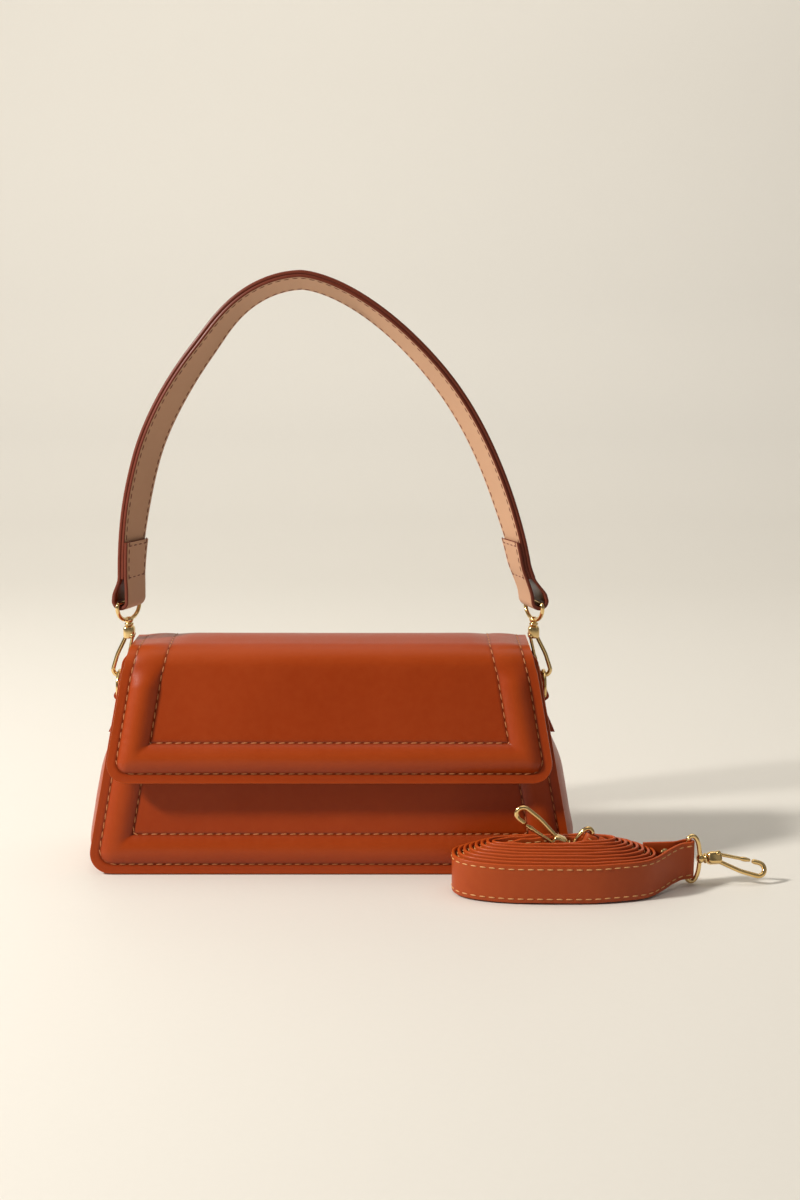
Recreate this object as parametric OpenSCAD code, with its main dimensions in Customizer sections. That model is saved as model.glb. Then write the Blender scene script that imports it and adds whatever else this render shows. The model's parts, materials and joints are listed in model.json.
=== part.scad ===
// Flap shoulder bag of smooth leather with a clip-on arched handle and a coiled long strap.
// +X is to the right, -Y to the front, +Z up; the origin is the middle of the base, on the floor.

/* [Body] */
// Width of the body along its base
base_w = 260; // [240:1:290]
// Width of the panels at their top edge
top_w = 218.4; // [214:0.2:222]
// Height of the panels' top edge
body_h = 117; // [112:0.5:122]
// Depth of the body at its base
base_d = 70; // [62:1:74]
// Depth of the body at the panels' top edge
top_d = 36; // [34:1:40]
// Radius of the panels' lower corners
corner_r = 13; // [11:0.5:16]
// Radius of the panels' top corners
cap_r = 6; // [4:0.5:8]
// Height of the panels' lower edge above the floor
edge_lift = 0.6; // [0.3:0.1:1.5]

/* [Leather] */
// Thickness of the outer skins
skin_t = 1.6; // [1.2:0.1:1.8]
// Thickness of the stiffener boards
board_t = 1.2; // [0.8:0.1:1.6]
// Thickness of the lining
lining_t = 0.8; // [0.6:0.1:1]
// Thickness of the gussets
gusset_t = 1.4; // [1:0.1:1.6]
// Width of the stitched margin outside the padded border
margin_w = 5; // [4:0.5:6]
// Width of the padded border between its two stitch rows
pad_w = 16; // [12:0.5:18]
// Height of the padded border on the panels
panel_pad_h = 2.8; // [2:0.1:3]
// Air left between soft pieces
air = 0.3; // [0.2:0.05:0.4]

/* [Gusset] */
// How far the gusset swells out near the base
gusset_swell = 5; // [2:0.5:6]
// How far the gusset is pinched in near the top
gusset_pinch = 3; // [2.5:0.25:4]
// Dip of the gusset's top edge at mid depth
gusset_dip = 8; // [4:0.5:9]
// Width of the gusset's sewn flanges
flange_w = 6.5; // [5:0.5:7]

/* [Flap] */
// Height of the flap's lower edge above the floor
flap_low_z = 51; // [44:1:58]
// Width of the flap at its lower edge
flap_w = 237; // [228:1:240]
// Width of the flap over its top fold
flap_fold_w = 211; // [204:1:211]
// Width of the flap where its front meets the top fold
flap_turn_w = 217; // [214:1:222]
// Distance of the flap's inside from the front panel at the top
flap_stand = 4.6; // [4.2:0.1:6]
// Radius of the flap's lower corners
flap_r = 12; // [8:0.5:14]
// Height of the flap's padded border
flap_pad_h = 3.6; // [2:0.1:4]
// Clear height between the panels' top edge and the flap
flap_over = 0.8; // [0.5:0.1:2]
// Inner radius of the flap's front fold
fold_front_r = 9; // [5:0.5:9]
// Inner radius of the flap's back fold
fold_back_r = 5; // [4:0.5:6]
// Angle that the flap's front hangs out from the front panel
flap_splay = 3.7; // [3:0.1:5]

/* [Snap] */
// Height of the magnetic snap above the floor
snap_z = 72; // [66:1:78]
// Diameter of the magnetic snap
snap_d = 17; // [14:0.5:18]
// Height of the snap's socket
socket_h = 3.6; // [3:0.1:4]
// Diameter of the snap's knob
knob_d = 4.4; // [4:0.1:5]

/* [Handle] */
// Width of the handle and of the long strap
strap_w = 20; // [17:0.5:20]
// Thickness of the handle's outer leather
handle_t = 2; // [1.6:0.1:2.2]
// Thickness of the handle's lining
handle_lining_t = 1.3; // [1:0.1:1.5]
// Height of the handle's arch above the panels' top edge
arch_rise = 195; // [178:1:208]
// Place of the arch's highest point to the left of the middle
arch_off = 13.5; // [0:0.5:18]
// Half the distance between the handle's two rings
eye_x = 109; // [109:0.1:110]
// Height of the bars of the handle's rings above the panels' top edge
eye_rise = 24.5; // [24:0.1:27]
// Twist of the handle at its ends
twist_end = 27; // [20:1:30]
// Twist of the handle at its highest point
twist_top = 19; // [6:1:22]
// Height above the ring's bar at which the folded end stops
fold_back = 33; // [28:1:38]

/* [Clasps] */
// Radius of the handle clasps' wire
wire_r = 1.1; // [1:0.05:1.15]
// Radius of the swivel post
post_r = 1.2; // [1:0.05:1.4]
// Running clearance of posts and pins
run = 0.06; // [0.02:0.01:0.09]
// Size of the long strap's clasps against the handle's
strap_clasp_k = 1.1; // [1.05:0.05:1.2]

/* [Side rings] */
// Distance of the middle of the side rings' arc below the panels' top edge
ring_drop = 22; // [21:0.1:23]
// Distance of the side rings from the bag's middle
ring_x = 114.8; // [114.6:0.1:115.2]
// Radius of the side rings' arc
ring_r = 8; // [7.6:0.1:8.2]
// Straight length of the side rings' legs
ring_leg = 2.5; // [2.3:0.1:2.8]
// Length of the leather tab below the ring
tab_len = 20; // [16:1:24]

/* [Long strap] */
// Turns of the coil
turns = 9; // [6:1:9]
// Half the length of the coil
coil_a = 54; // [52:0.5:58]
// Half the depth of the coil
coil_b = 21.5; // [21:0.5:22.5]
// Thickness of the long strap
long_t = 1.5; // [1.2:0.1:1.5]
// Height that the innermost turn has risen by
coil_rise = 8; // [4:0.5:9]
// Place of the coil's middle to the right of the bag's middle
coil_x = 117; // [112:1:124]
// Distance of the coil's middle in front of the bag's middle
coil_y = 58.8; // [58.6:0.1:62]

/* [Hidden] */
leather = [0.62, 0.27, 0.10];
leather_dark = [0.42, 0.17, 0.07];
tan = [0.76, 0.58, 0.44];
cloth = [0.55, 0.40, 0.28];
board = [0.72, 0.66, 0.55];
foam = [0.88, 0.86, 0.80];
gold = [0.86, 0.68, 0.36];
arch_z = body_h + arch_rise;
eye_z = body_h + eye_rise;
ring_z = body_h - ring_drop;
lean = atan((base_d - top_d) / 2 / body_h);
flap_lean = lean + flap_splay;
slope_len = body_h / cos(lean) - edge_lift;
// The back panel ends lower, where the flap carries on from it
back_drop = 5;
back_len = slope_len - back_drop / cos(lean);
rim_w = 2.2;
round_fn = 32;
band_n = 6;
// Distances of the grid lines from an edge: rim, margin, then the arch of the padded border
bands = concat([0, rim_w, rim_w + air],
               [for (i = [0:band_n]) margin_w + pad_w * (1 - cos(180 * i / band_n)) / 2]);
bn = len(bands);

function hw(z) = base_w / 2 - (base_w - top_w) / 2 * z / body_h;
function hd(z) = base_d / 2 - (base_d - top_d) / 2 * z / body_h;
function clamp01(t) = min(1, max(0, t));
function ease(t) = clamp01(t) * clamp01(t) * (3 - 2 * clamp01(t));
function mix(a, b, t) = a + (b - a) * t;
function arch(d) = d <= margin_w || d >= margin_w + pad_w ? 0
    : pow(sin(180 * (d - margin_w) / pad_w), 0.75);

// A grid point's distances from the side edge and the end edge, with the corner rounded
function round_pair(a, b, r) =
    let (k = min(a, b), rk = r - k, run_a = max(a, b) - k)
    rk <= 0.5 || run_a >= rk ? [a, b]
    : let (t = 45 + 45 * run_a / rk, p = r - rk * sin(t), q = r - rk * cos(t))
      a >= b ? [q, r - rk * sin(t)] : [r - rk * sin(t), q];

// A closed solid between two grids of points with the same numbers of rows and columns
module sheet_solid(outer, inner) {
    m = len(outer);
    n = len(outer[0]);
    k = m * n;
    points = concat([for (row = outer) for (p = row) p], [for (row = inner) for (p = row) p]);
    faces = concat(
        [for (i = [0:m - 2]) for (j = [0:n - 2]) let (a = i * n + j)
            each [[a, a + n, a + 1], [a + 1, a + n, a + n + 1]]],
        [for (i = [0:m - 2]) for (j = [0:n - 2]) let (a = k + i * n + j)
            each [[a, a + 1, a + n], [a + 1, a + n + 1, a + n]]],
        [for (j = [0:n - 2]) each [[j, j + 1, k + j], [j + 1, k + j + 1, k + j]]],
        [for (j = [0:n - 2]) let (a = (m - 1) * n + j) each [[a, k + a, a + 1], [a + 1, k + a, k + a + 1]]],
        [for (i = [0:m - 2]) let (a = i * n) each [[a, k + a, a + n], [a + n, k + a, k + a + n]]],
        [for (i = [0:m - 2]) let (a = i * n + n - 1) each [[a, a + n, k + a], [a + n, k + a + n, k + a]]]);
    polyhedron(points, faces, convexity = 8);
}

// A closed solid through a row of loops that have the same number of points
module loft(loops) {
    m = len(loops);
    n = len(loops[0]);
    points = [for (loop = loops) for (p = loop) p];
    faces = concat(
        [[for (j = [n - 1:-1:0]) j]],
        [[for (j = [0:n - 1]) (m - 1) * n + j]],
        [for (i = [0:m - 2]) for (j = [0:n - 1])
            let (a = i * n + j, b = i * n + (j + 1) % n)
            each [[a, b, a + n], [b, b + n, a + n]]]);
    polyhedron(points, faces, convexity = 8);
}

// Stands a drawing made flat (x across, y up, z outward) on the front of the body
module on_front() {
    translate([0, -base_d / 2, 0])
        rotate([90 - lean, 0, 0])
            translate([0, edge_lift, 0])
                children();
}

module on_back() {
    mirror([0, 1, 0]) on_front() children();
}

// Share of the padded border's full height, by the distance from the panel's top edge
fade_low = 0.3;
fade_from = 40;
fade_run = 30;
function pad_share(below) = mix(1, fade_low, ease((fade_from - below) / fade_run));

// Point of the flat panel that lies da from its side and db from its lower or top edge
function panel_point(i, j, depth, high_v) =
    let (m = 2 * bn,
         di = bands[i < bn ? i : m - 1 - i],
         dj = bands[j < bn ? j : m - 1 - j],
         pair = round_pair(di, dj, j < bn ? corner_r : cap_r),
         v = j < bn ? pair[1] : high_v - pair[1],
         half = hw((v + edge_lift) * cos(lean)),
         x = (half - pair[0]) * (i < bn ? -1 : 1),
         d = min(di, dj),
         lift = panel_pad_h * arch(d) * pad_share(high_v - v))
    [x, v, lift - depth];

module panel_skin(high_v) {
    m = 2 * bn;
    sheet_solid([for (j = [0:m - 1]) [for (i = [0:m - 1]) panel_point(i, j, 0, high_v)]],
                [for (j = [0:m - 1]) [for (i = [0:m - 1]) panel_point(i, j, skin_t, high_v)]]);
}

panel_half = function(v) hw((v + edge_lift) * cos(lean));

// Outline of a flat trapezoid that lies inset from the panel's edges
module panel_outline(inset, r) {
    low = inset;
    high = slope_len - inset;
    w_low = hw((low + edge_lift) * cos(lean)) - inset;
    w_high = hw((high + edge_lift) * cos(lean)) - inset;
    turn = atan((w_low - w_high) / (high - low));
    arc = round_fn / 4;
    right = concat(
        [for (i = [0:arc]) let (t = -90 + (90 + turn) * i / arc)
            [w_low - r * (1 + sin(turn)) / cos(turn) + r * cos(t), low + r + r * sin(t)]],
        [for (i = [0:arc]) let (t = turn + (90 - turn) * i / arc)
            [w_high - r * (1 - sin(turn)) / cos(turn) + r * cos(t), high - r + r * sin(t)]]);
    polygon(concat(right, [for (i = [len(right) - 1:-1:0]) [-right[i][0], right[i][1]]]));
}

board_inset = flange_w + 2.5;
board_n = skin_t + air;

module front_panel() color(leather) on_front() panel_skin(slope_len);

module back_panel() color(leather) on_back() panel_skin(back_len);

module panel_board() {
    translate([0, 0, -board_n - board_t])
        linear_extrude(board_t) panel_outline(board_inset, corner_r - 4);
}

module front_board() color(board) on_front() panel_board();

module back_board() color(board) on_back() panel_board();

// Foam strip under the arch: sections at both upper ends and mitred at both lower corners
pad_steps = 7;
pad_stop = 44;
function pad_section(h, t) = concat(
    [for (k = [0:pad_steps]) let (d = margin_w + pad_w * (0.06 + 0.88 * k / pad_steps))
        [d, max(air, 0.88 * h * arch(d) - 1.5 * t)]],
    [[margin_w + pad_w * 0.94, 0], [margin_w + pad_w * 0.06, 0]]);

// Corner point of the strip, between the straight's end and the mitre, at distance d from the edges
pad_turn = 22;
function pad_corner(d, r, k) = k == 0 ? [d, pad_turn] : k == 2 ? [pad_turn, d]
    : d < r ? [1, 1] * (r - (r - d) * cos(45)) : [d, d];

// Height share at the strip's upper ends, where the panel's border falls off evenly between its two corners
function end_share(high_v) =
    let (reach = margin_w + pad_w)
    mix(1, pad_share(reach), (high_v - pad_stop - reach) / (high_v - 2 * reach));

module pad_frame(section, half_at, r, high_v, base_n, high_k = 1) {
    low = function(side, k) [for (p = section) let (c = pad_corner(p[0], r, k))
        [side * (half_at(c[1]) - c[0]), c[1], base_n + p[1]]];
    high = function(side) [for (p = section) [side * (half_at(high_v) - p[0]), high_v, base_n + p[1] * high_k]];
    loft([high(-1), low(-1, 0), low(-1, 1), low(-1, 2), low(1, 2), low(1, 1), low(1, 0), high(1)]);
}

module front_padding() color(foam)
    on_front() pad_frame(pad_section(panel_pad_h, air), panel_half, corner_r, slope_len - pad_stop, -skin_t,
                         end_share(slope_len));

module back_padding() color(foam)
    on_back() pad_frame(pad_section(panel_pad_h, air), panel_half, corner_r, back_len - pad_stop, -skin_t,
                        end_share(back_len));

// Right side of the panels' outline, seen from the front: line, then the lower corner
side_turn = atan((base_w - top_w) / 2 / body_h);
corner_z = edge_lift + corner_r;
corner_x = base_w / 2 - (corner_r + corner_z * sin(side_turn)) / cos(side_turn);
gusset_in = 0.4;
gusset_top = body_h - back_drop - 1.2;
seam = skin_t + air;

function bulge(z) = mix(gusset_swell, -gusset_pinch, ease((z - 48) / 44)) * ease((z - edge_lift) / 16);
function gusset_x(z) = hw(z) - gusset_in + bulge(z);

// Stations down the side: [height above the corner's end or corner angle]
side_rows = 14;
corner_rows = 7;
function gusset_point(i, t, across, inset) =
    let (top = gusset_top - gusset_dip * (1 - t * t),
         low = corner_z + corner_r * sin(side_turn),
         on_side = i <= side_rows,
         z0 = mix(top, low, i / side_rows),
         a = mix(side_turn, -90, (i - side_rows) / corner_rows),
         ang = on_side ? side_turn : a,
         px = on_side ? hw(z0) : corner_x + corner_r * cos(a),
         pz = on_side ? z0 : corner_z + corner_r * sin(a),
         out = bulge(pz) * (1 - t * t) * across - gusset_in - inset,
         y = t * ((hd(pz) - seam / cos(lean)) - (inset > 0 && across > 0 ? gusset_t : 0)))
    [px + out * cos(ang), y, pz + out * sin(ang)];

gusset_ts = [for (k = [-4:4]) k / 4];
function gusset_row(i, inset) = concat(
    [flange_point(i, -1, inset)],
    [for (t = gusset_ts) gusset_point(i, t, 1, inset)],
    [flange_point(i, 1, inset)]);
// End of the sewn flange, set in from the edge along the panel
function flange_point(i, t, inset) =
    let (p = gusset_point(i, t, 0, flange_w), q = gusset_point(i, t, 0, 0))
    [p[0], p[1] - t * inset, p[2]];

module gusset() {
    sheet_solid([for (i = [0:side_rows + corner_rows]) gusset_row(i, 0)],
                [for (i = [0:side_rows + corner_rows]) gusset_row(i, gusset_t)]);
}

module gusset_right() color(leather_dark) gusset();

module gusset_left() color(leather_dark) mirror([1, 0, 0]) gusset();

// Base: a channel whose flanges are sewn to the panels
module base_panel() color(leather_dark) {
    wall = function(z) hd(z) - seam / cos(lean);
    high = 7;
    half = corner_x - air;
    right = [[wall(0), 0], [wall(high), high], [wall(high) - gusset_t, high], [wall(0) - gusset_t, gusset_t]];
    rotate([90, 0, 90])
        translate([0, 0, -half])
            linear_extrude(2 * half)
                polygon(concat(right, [for (i = [3:-1:0]) [-right[i][0], right[i][1]]]));
}

base_board_t = 1.8;
base_board_z = gusset_t + air;

module base_board() color(board) {
    half_x = corner_x - 2;
    half_y = hd(0) - seam - gusset_t - 1.5;
    r = 4;
    translate([0, 0, base_board_z])
        linear_extrude(base_board_t)
            union() {
                square([2 * half_x, 2 * (half_y - r)], center = true);
                square([2 * (half_x - r), 2 * half_y], center = true);
                for (sx = [-1, 1], sy = [-1, 1])
                    translate([sx * (half_x - r), sy * (half_y - r)]) circle(r, $fn = round_fn);
            }
}

// Lining: a thin tub with an open mouth
lining_z = base_board_z + base_board_t + air;
lining_n = board_n + board_t + 1.4;
lining_top = gusset_top + 1;
lining_steps = 6;
dip_w = hd(lining_top) - lining_n / cos(lean) - lining_t;
dip_r = (pow(dip_w, 2) + pow(gusset_dip, 2)) / (2 * gusset_dip);
function tub_loop(z, inset) =
    let (x_low = corner_x + 2.5, x_top = hw(lining_top) - gusset_pinch - gusset_t - 1.5,
         x = mix(x_low, x_top, (z - lining_z) / (lining_top - lining_z)) - inset,
         y = hd(z) - lining_n / cos(lean) - inset,
         r = 5 - inset,
         arc = function(sx, sy, a) [for (k = [0:lining_steps]) let (t = a + 90 * k / lining_steps)
             [sx * (x - r) + r * cos(t), sy * (y - r) + r * sin(t), z]])
    reversed(concat(arc(1, 1, 0), arc(-1, 1, 90), arc(-1, -1, 180), arc(1, -1, 270)));

module lining() color(cloth) difference() {
    loft([tub_loop(lining_z, 0), tub_loop(lining_top, 0)]);
    loft([tub_loop(lining_z + lining_t, lining_t), tub_loop(lining_top + 1, lining_t)]);
    // The mouth's ends dip with the gussets
    for (s = [-1, 1])
        translate([s * (hw(lining_top) - gusset_pinch), 0, lining_top - gusset_dip + dip_r])
            rotate([0, 90, 0]) cylinder(h = 16, r = dip_r, center = true, $fn = 96);
}

// Flap, measured along its inside from its lower edge (q) up and over to the hinge
flap_lining_t = 0.7;
flap_board_t = 0.6;
flap_core = flap_lining_t + flap_board_t + 2 * air;
flap_skin_t = skin_t - 0.4;
flap_t = flap_core + flap_skin_t;
flap_in_z = body_h + flap_over;
fold_front_z = flap_in_z - fold_front_r;
fold_front_y = -(top_d / 2 + flap_stand) - (body_h - fold_front_z) * tan(flap_lean)
    + fold_front_r * cos(flap_lean) + fold_front_r * sin(flap_lean) * tan(flap_lean);
fold_back_z = flap_in_z - fold_back_r;
hinge_z = body_h - back_drop + air / 2;
hinge_y = hd(hinge_z);
// The back fold is tangent to a plane that lies one flap thickness inside the back panel's face
fold_back_y = hd(fold_back_z + fold_back_r * sin(lean)) - flap_t / cos(lean) - fold_back_r * cos(lean);
front_len = (fold_front_z + fold_front_r * sin(flap_lean) - flap_low_z) / cos(flap_lean);
front_arc = fold_front_r * (90 - flap_lean) * PI / 180;
top_len = fold_back_y - fold_front_y;
back_arc = fold_back_r * (90 - lean) * PI / 180;
back_len_q = (fold_back_z + fold_back_r * sin(lean) - hinge_z - air / 2) / cos(lean);
flap_len = front_len + front_arc + top_len + back_arc + back_len_q;
flap_low_y = fold_front_y - fold_front_r * cos(flap_lean) - front_len * sin(flap_lean);

// Point and outward direction of the flap's inside: [y, z, direction y, direction z]
function flap_at(q) =
    q <= front_len
    ? [flap_low_y + q * sin(flap_lean), flap_low_z + q * cos(flap_lean), -cos(flap_lean), sin(flap_lean)]
    : q <= front_len + front_arc
    ? let (a = flap_lean + (q - front_len) / fold_front_r * 180 / PI)
      [fold_front_y - fold_front_r * cos(a), fold_front_z + fold_front_r * sin(a), -cos(a), sin(a)]
    : q <= front_len + front_arc + top_len
    ? [fold_front_y + q - front_len - front_arc, flap_in_z, 0, 1]
    : q <= front_len + front_arc + top_len + back_arc
    ? let (a = 90 - (q - front_len - front_arc - top_len) / fold_back_r * 180 / PI)
      [fold_back_y + fold_back_r * cos(a), fold_back_z + fold_back_r * sin(a), cos(a), sin(a)]
    : let (e = q - front_len - front_arc - top_len - back_arc)
      [fold_back_y + fold_back_r * cos(lean) + e * sin(lean),
       fold_back_z + fold_back_r * sin(lean) - e * cos(lean), cos(lean), sin(lean)];

// Half width: straight along the front, then drawn in a little over the fold
fold_start = front_len - 5;
function flap_half(q) =
    (mix(flap_w, flap_turn_w, min(1, q / front_len))
     - (flap_turn_w - flap_fold_w) * ease((q - fold_start) / (front_len + front_arc - fold_start))) / 2;
function flap_swell(q) = mix(1, 0.22, ease((q - front_len + 12) / 14));

function flap_map(x, q, n) = let (f = flap_at(q)) [x, f[0] + n * f[2], f[1] + n * f[3]];

front_rows = 4;
arc_rows = 8;
flap_qs = concat(
    [for (d = bands) d],
    [for (k = [1:front_rows]) mix(bands[bn - 1], front_len, k / front_rows)],
    [for (k = [1:arc_rows]) front_len + front_arc * k / arc_rows],
    [for (k = [0:arc_rows]) front_len + front_arc + top_len + back_arc * k / arc_rows],
    [flap_len]);

function flap_point(i, j, inner) =
    let (m = 2 * bn,
         di = bands[i < bn ? i : m - 1 - i],
         low = j < bn,
         pair = low ? round_pair(di, bands[j], flap_r) : [di, flap_qs[j]],
         q = pair[1],
         d = low ? min(di, bands[j]) : di,
         x = (flap_half(q) - pair[0]) * (i < bn ? -1 : 1),
         lift = flap_pad_h * arch(d) * flap_swell(q),
         foot = d <= rim_w ? 0 : flap_core)
    flap_map(x, q, inner ? foot + lift : flap_t + lift);

module flap() color(leather) {
    m = 2 * bn;
    sheet_solid([for (j = [0:len(flap_qs) - 1]) [for (i = [0:m - 1]) flap_point(i, j, false)]],
                [for (j = [0:len(flap_qs) - 1]) [for (i = [0:m - 1]) flap_point(i, j, true)]]);
}

// A flat layer inside the flap, held in by its rim
module flap_layer(inset, low_n, high_n) {
    r = flap_r - inset + 0.5;
    steps = 5;
    qs = concat([for (k = [0:steps]) inset + r * (1 - cos(90 * k / steps))],
                [for (q = flap_qs) if (q > inset + r + 2) q]);
    half = function(q) flap_half(q) - inset
        - (q < inset + r ? r - sqrt(max(0, r * r - pow(inset + r - q, 2))) : 0);
    rows = function(n) [for (q = qs) [for (side = [-1, 1]) flap_map(side * half(q), q, n)]];
    sheet_solid(rows(high_n), rows(low_n));
}

module flap_lining() color(cloth) flap_layer(rim_w + 2 * air, 0, flap_lining_t);

module flap_board() color(board)
    flap_layer(rim_w + 4 * air, flap_lining_t + air, flap_lining_t + air + flap_board_t);

module on_flap() {
    translate([0, flap_low_y, flap_low_z]) rotate([90 - flap_lean, 0, 0]) children();
}

flap_half_low = function(v) flap_half(v);

module flap_padding() color(foam)
    on_flap() pad_frame(pad_section(flap_pad_h, air), flap_half_low, flap_r, front_len - 21, flap_core);

// Magnetic snap: a socket on the front panel and a stud on the flap
snap_v = snap_z / cos(lean) - edge_lift;
snap_q = (snap_z - flap_low_z) / cos(flap_lean);
snap_gap = hd(snap_z) * -1 - flap_at(snap_q)[0];
bore_d = knob_d * 1.95;
stud_h = snap_gap * cos(flap_lean) - socket_h - snap_d / 2 * sin(flap_lean - lean) - 2 * air;
knob_in = 1.8;
seat = 0.03;

module snap_socket() color(gold)
    on_front() translate([0, snap_v, seat]) difference() {
        union() {
            cylinder(h = socket_h - 0.8, d = snap_d, $fn = 64);
            translate([0, 0, socket_h - 0.8]) cylinder(h = 0.8, d1 = snap_d, d2 = snap_d - 1.6, $fn = 64);
        }
        translate([0, 0, socket_h - knob_in - 1]) cylinder(h = knob_in + 2, d = bore_d, $fn = 48);
    }

module snap_washer() color(gold)
    on_front() translate([0, snap_v, -board_n - board_t - 0.9]) difference() {
        cylinder(h = 0.8, d = snap_d - 1, $fn = 48);
        translate([0, 0, -1]) cylinder(h = 3, d = knob_d, $fn = 32);
    }

module snap_stud() color(gold)
    on_flap() translate([0, snap_q, -seat]) mirror([0, 0, 1]) {
        cylinder(h = stud_h - 0.6, d = snap_d, $fn = 64);
        translate([0, 0, stud_h - 0.6]) cylinder(h = 0.6, d1 = snap_d, d2 = snap_d - 1.2, $fn = 64);
        cylinder(h = stud_h + 2 * air + knob_in, d = knob_d, $fn = 32);
    }

// A straight wire with a slightly fuller ball at each end, so that wires meet cleanly at any angle
ball_k = 1.04;
module rod(a, b, r) {
    d = b - a;
    h = norm(d);
    translate(a)
        rotate([0, acos(d[2] / h), atan2(d[1], d[0])])
            cylinder(h = h, r = r, $fn = 24);
    for (p = [a, b]) translate(p) sphere(r * ball_k, $fn = 24);
}

module wire(points, r) {
    for (i = [0:len(points) - 2]) rod(points[i], points[i + 1], r);
}

// Side ring: a half round of wire that stands on a straight bar
ring_corner = 1.8;
bar_z = ring_z - ring_leg - ring_corner;
module side_ring() {
    rotate([90, 0, 90]) rotate_extrude(angle = 180, $fn = 64)
        translate([ring_r, 0]) circle(wire_r, $fn = 24);
    for (s = [-1, 1]) {
        translate([0, s * ring_r, -ring_leg]) cylinder(h = ring_leg, r = wire_r, $fn = 24);
        translate([0, s * (ring_r - ring_corner), -ring_leg])
            rotate([90, 0, 90]) rotate_extrude(angle = 90, start = s > 0 ? 270 : 180, $fn = 64)
                translate([ring_corner, 0]) circle(wire_r, $fn = 24);
    }
    translate([0, ring_corner - ring_r, bar_z - ring_z])
        rotate([-90, 0, 0]) cylinder(h = 2 * (ring_r - ring_corner), r = wire_r, $fn = 24);
}

module ring_right() color(gold) translate([ring_x, 0, ring_z]) side_ring();

module ring_left() color(gold) translate([-ring_x, 0, ring_z]) side_ring();

// Leather tab: looped round the side ring's bar and sewn down on the gusset
tab_t = 2.4;
tab_stand = 0.6;
tab_r = 2.6;
module tab() {
    low = bar_z - tab_len;
    zs = [for (k = [0:6]) mix(low, bar_z - 3.5, k / 6)];
    outline = concat(
        [for (z = zs) [gusset_x(z) + tab_stand, z]],
        [for (a = [205:-15:-35]) [ring_x + tab_r * cos(a), bar_z + tab_r * sin(a)]],
        [for (k = [6:-1:0]) [gusset_x(zs[k]) + tab_stand + tab_t, zs[k]]]);
    rotate([90, 0, 0])
        translate([0, 0, ring_corner - ring_r])
            linear_extrude(2 * (ring_r - ring_corner))
                difference() {
                    polygon(outline);
                    translate([ring_x, bar_z]) circle(wire_r + 0.2, $fn = 48);
                }
}

module tab_right() color(leather_dark) tab();

module tab_left() color(leather_dark) mirror([1, 0, 0]) tab();

// Clasp, drawn for the right side with its swivel axis on Z and the floor's height kept:
// the hook holds the side ring's arc at p = q = 0 of a leaning frame
block_w = 6;
block_d = 6.5;
block_z = eye_z - 19.9;
block_h = 6.8;
post_z = eye_z - 10;
hook_lean = 17;
hook_zero = [ring_x - eye_x, 0, ring_z + ring_r];
function lean_pt(p, q, y = 0) = hook_zero
    + [p * cos(hook_lean) - q * sin(hook_lean), y, p * sin(hook_lean) + q * cos(hook_lean)];
hook_bend_r = 3.15;
hook_bend = [0.55, 0.8];
pivot = [-1.9, block_z + 1.5];
gate_r = 0.9;
pin_r = 0.6;
lug_w = 2.4;
slot_top = block_z + 3;
head_h = 1;
head_r = 1.9;
head_z = slot_top + 0.5;

module hook() {
    // The block with its swivel bore, the head's room and the gate's slot
    difference() {
        translate([-block_w / 2, -block_d / 2, block_z]) cube([block_w, block_d, block_h]);
        translate([0, 0, head_z]) cylinder(h = block_h, r = post_r + run, $fn = 48);
        translate([0, 0, head_z]) cylinder(h = head_h + 2 * run, r = head_r + run, $fn = 48);
        translate([-block_w / 2 - 1, -lug_w / 2 - 0.2, block_z - 1])
            cube([block_w / 2 + 1.6, lug_w + 0.4, slot_top - block_z + 1]);
        translate([pivot[0], block_d, pivot[1]]) rotate([90, 0, 0])
            cylinder(h = 2 * block_d, r = pin_r + run, $fn = 32);
    }
    leg_top = [1.9, 0, block_z + 0.6];
    wire([leg_top, lean_pt(3.5, 9), lean_pt(hook_bend[0] + hook_bend_r, hook_bend[1])], wire_r);
    bend_low();
    wire([lean_pt(hook_bend[0] - hook_bend_r, hook_bend[1]),
          lean_pt(hook_bend[0] - hook_bend_r, hook_bend[1] + 2.6)], wire_r);
}

module bend_low() {
    translate(lean_pt(hook_bend[0], hook_bend[1]))
        rotate([0, -hook_lean, 0])
            rotate([90, 0, 0])
                rotate_extrude(angle = 180, start = 180, $fn = 64)
                    translate([hook_bend_r, 0]) circle(wire_r, $fn = 24);
}

module gate() {
    tip = lean_pt(hook_bend[0] - hook_bend_r, hook_bend[1] + 5.2);
    top = [pivot[0], 0, pivot[1]];
    difference() {
        union() {
            rod(tip, top + (tip - top) / norm(tip - top) * 1.2, gate_r);
            translate([pivot[0], lug_w / 2, pivot[1]]) rotate([90, 0, 0])
                cylinder(h = lug_w, r = 1.3, $fn = 32);
        }
        translate([pivot[0], block_d, pivot[1]]) rotate([90, 0, 0])
            cylinder(h = 2 * block_d, r = pin_r + run, $fn = 32);
    }
}

module gate_pin() {
    translate([pivot[0], block_d / 2 - 0.1, pivot[1]]) rotate([90, 0, 0])
        cylinder(h = block_d - 0.2, r = pin_r, $fn = 32);
}

// Eye: the bar in the strap's fold, two converging legs and the swivel post with its head
eye_half = 11.4;
module eye(half, bar) {
    drop = min(3, (bar - post_z) / 3);
    top = [[-half, bar], [-half, bar - drop], [-half + 1.5, bar - drop - 2.4], [-3, post_z + 0.6], [0, post_z]];
    wire([for (p = top) [0, p[0], p[1]]], wire_r);
    wire([for (p = top) [0, -p[0], p[1]]], wire_r);
    translate([0, half, bar]) rotate([90, 0, 0]) cylinder(h = 2 * half, r = wire_r, $fn = 24);
    translate([0, 0, head_z + run]) cylinder(h = head_h, r = head_r, $fn = 48);
    translate([0, 0, head_z + run + head_h / 2])
        cylinder(h = post_z - head_z - run - head_h / 2, r = post_r, $fn = 48);
    translate([0, 0, block_z + block_h + 0.25]) cylinder(h = 1.6, r = 2, $fn = 48);
}

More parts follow.
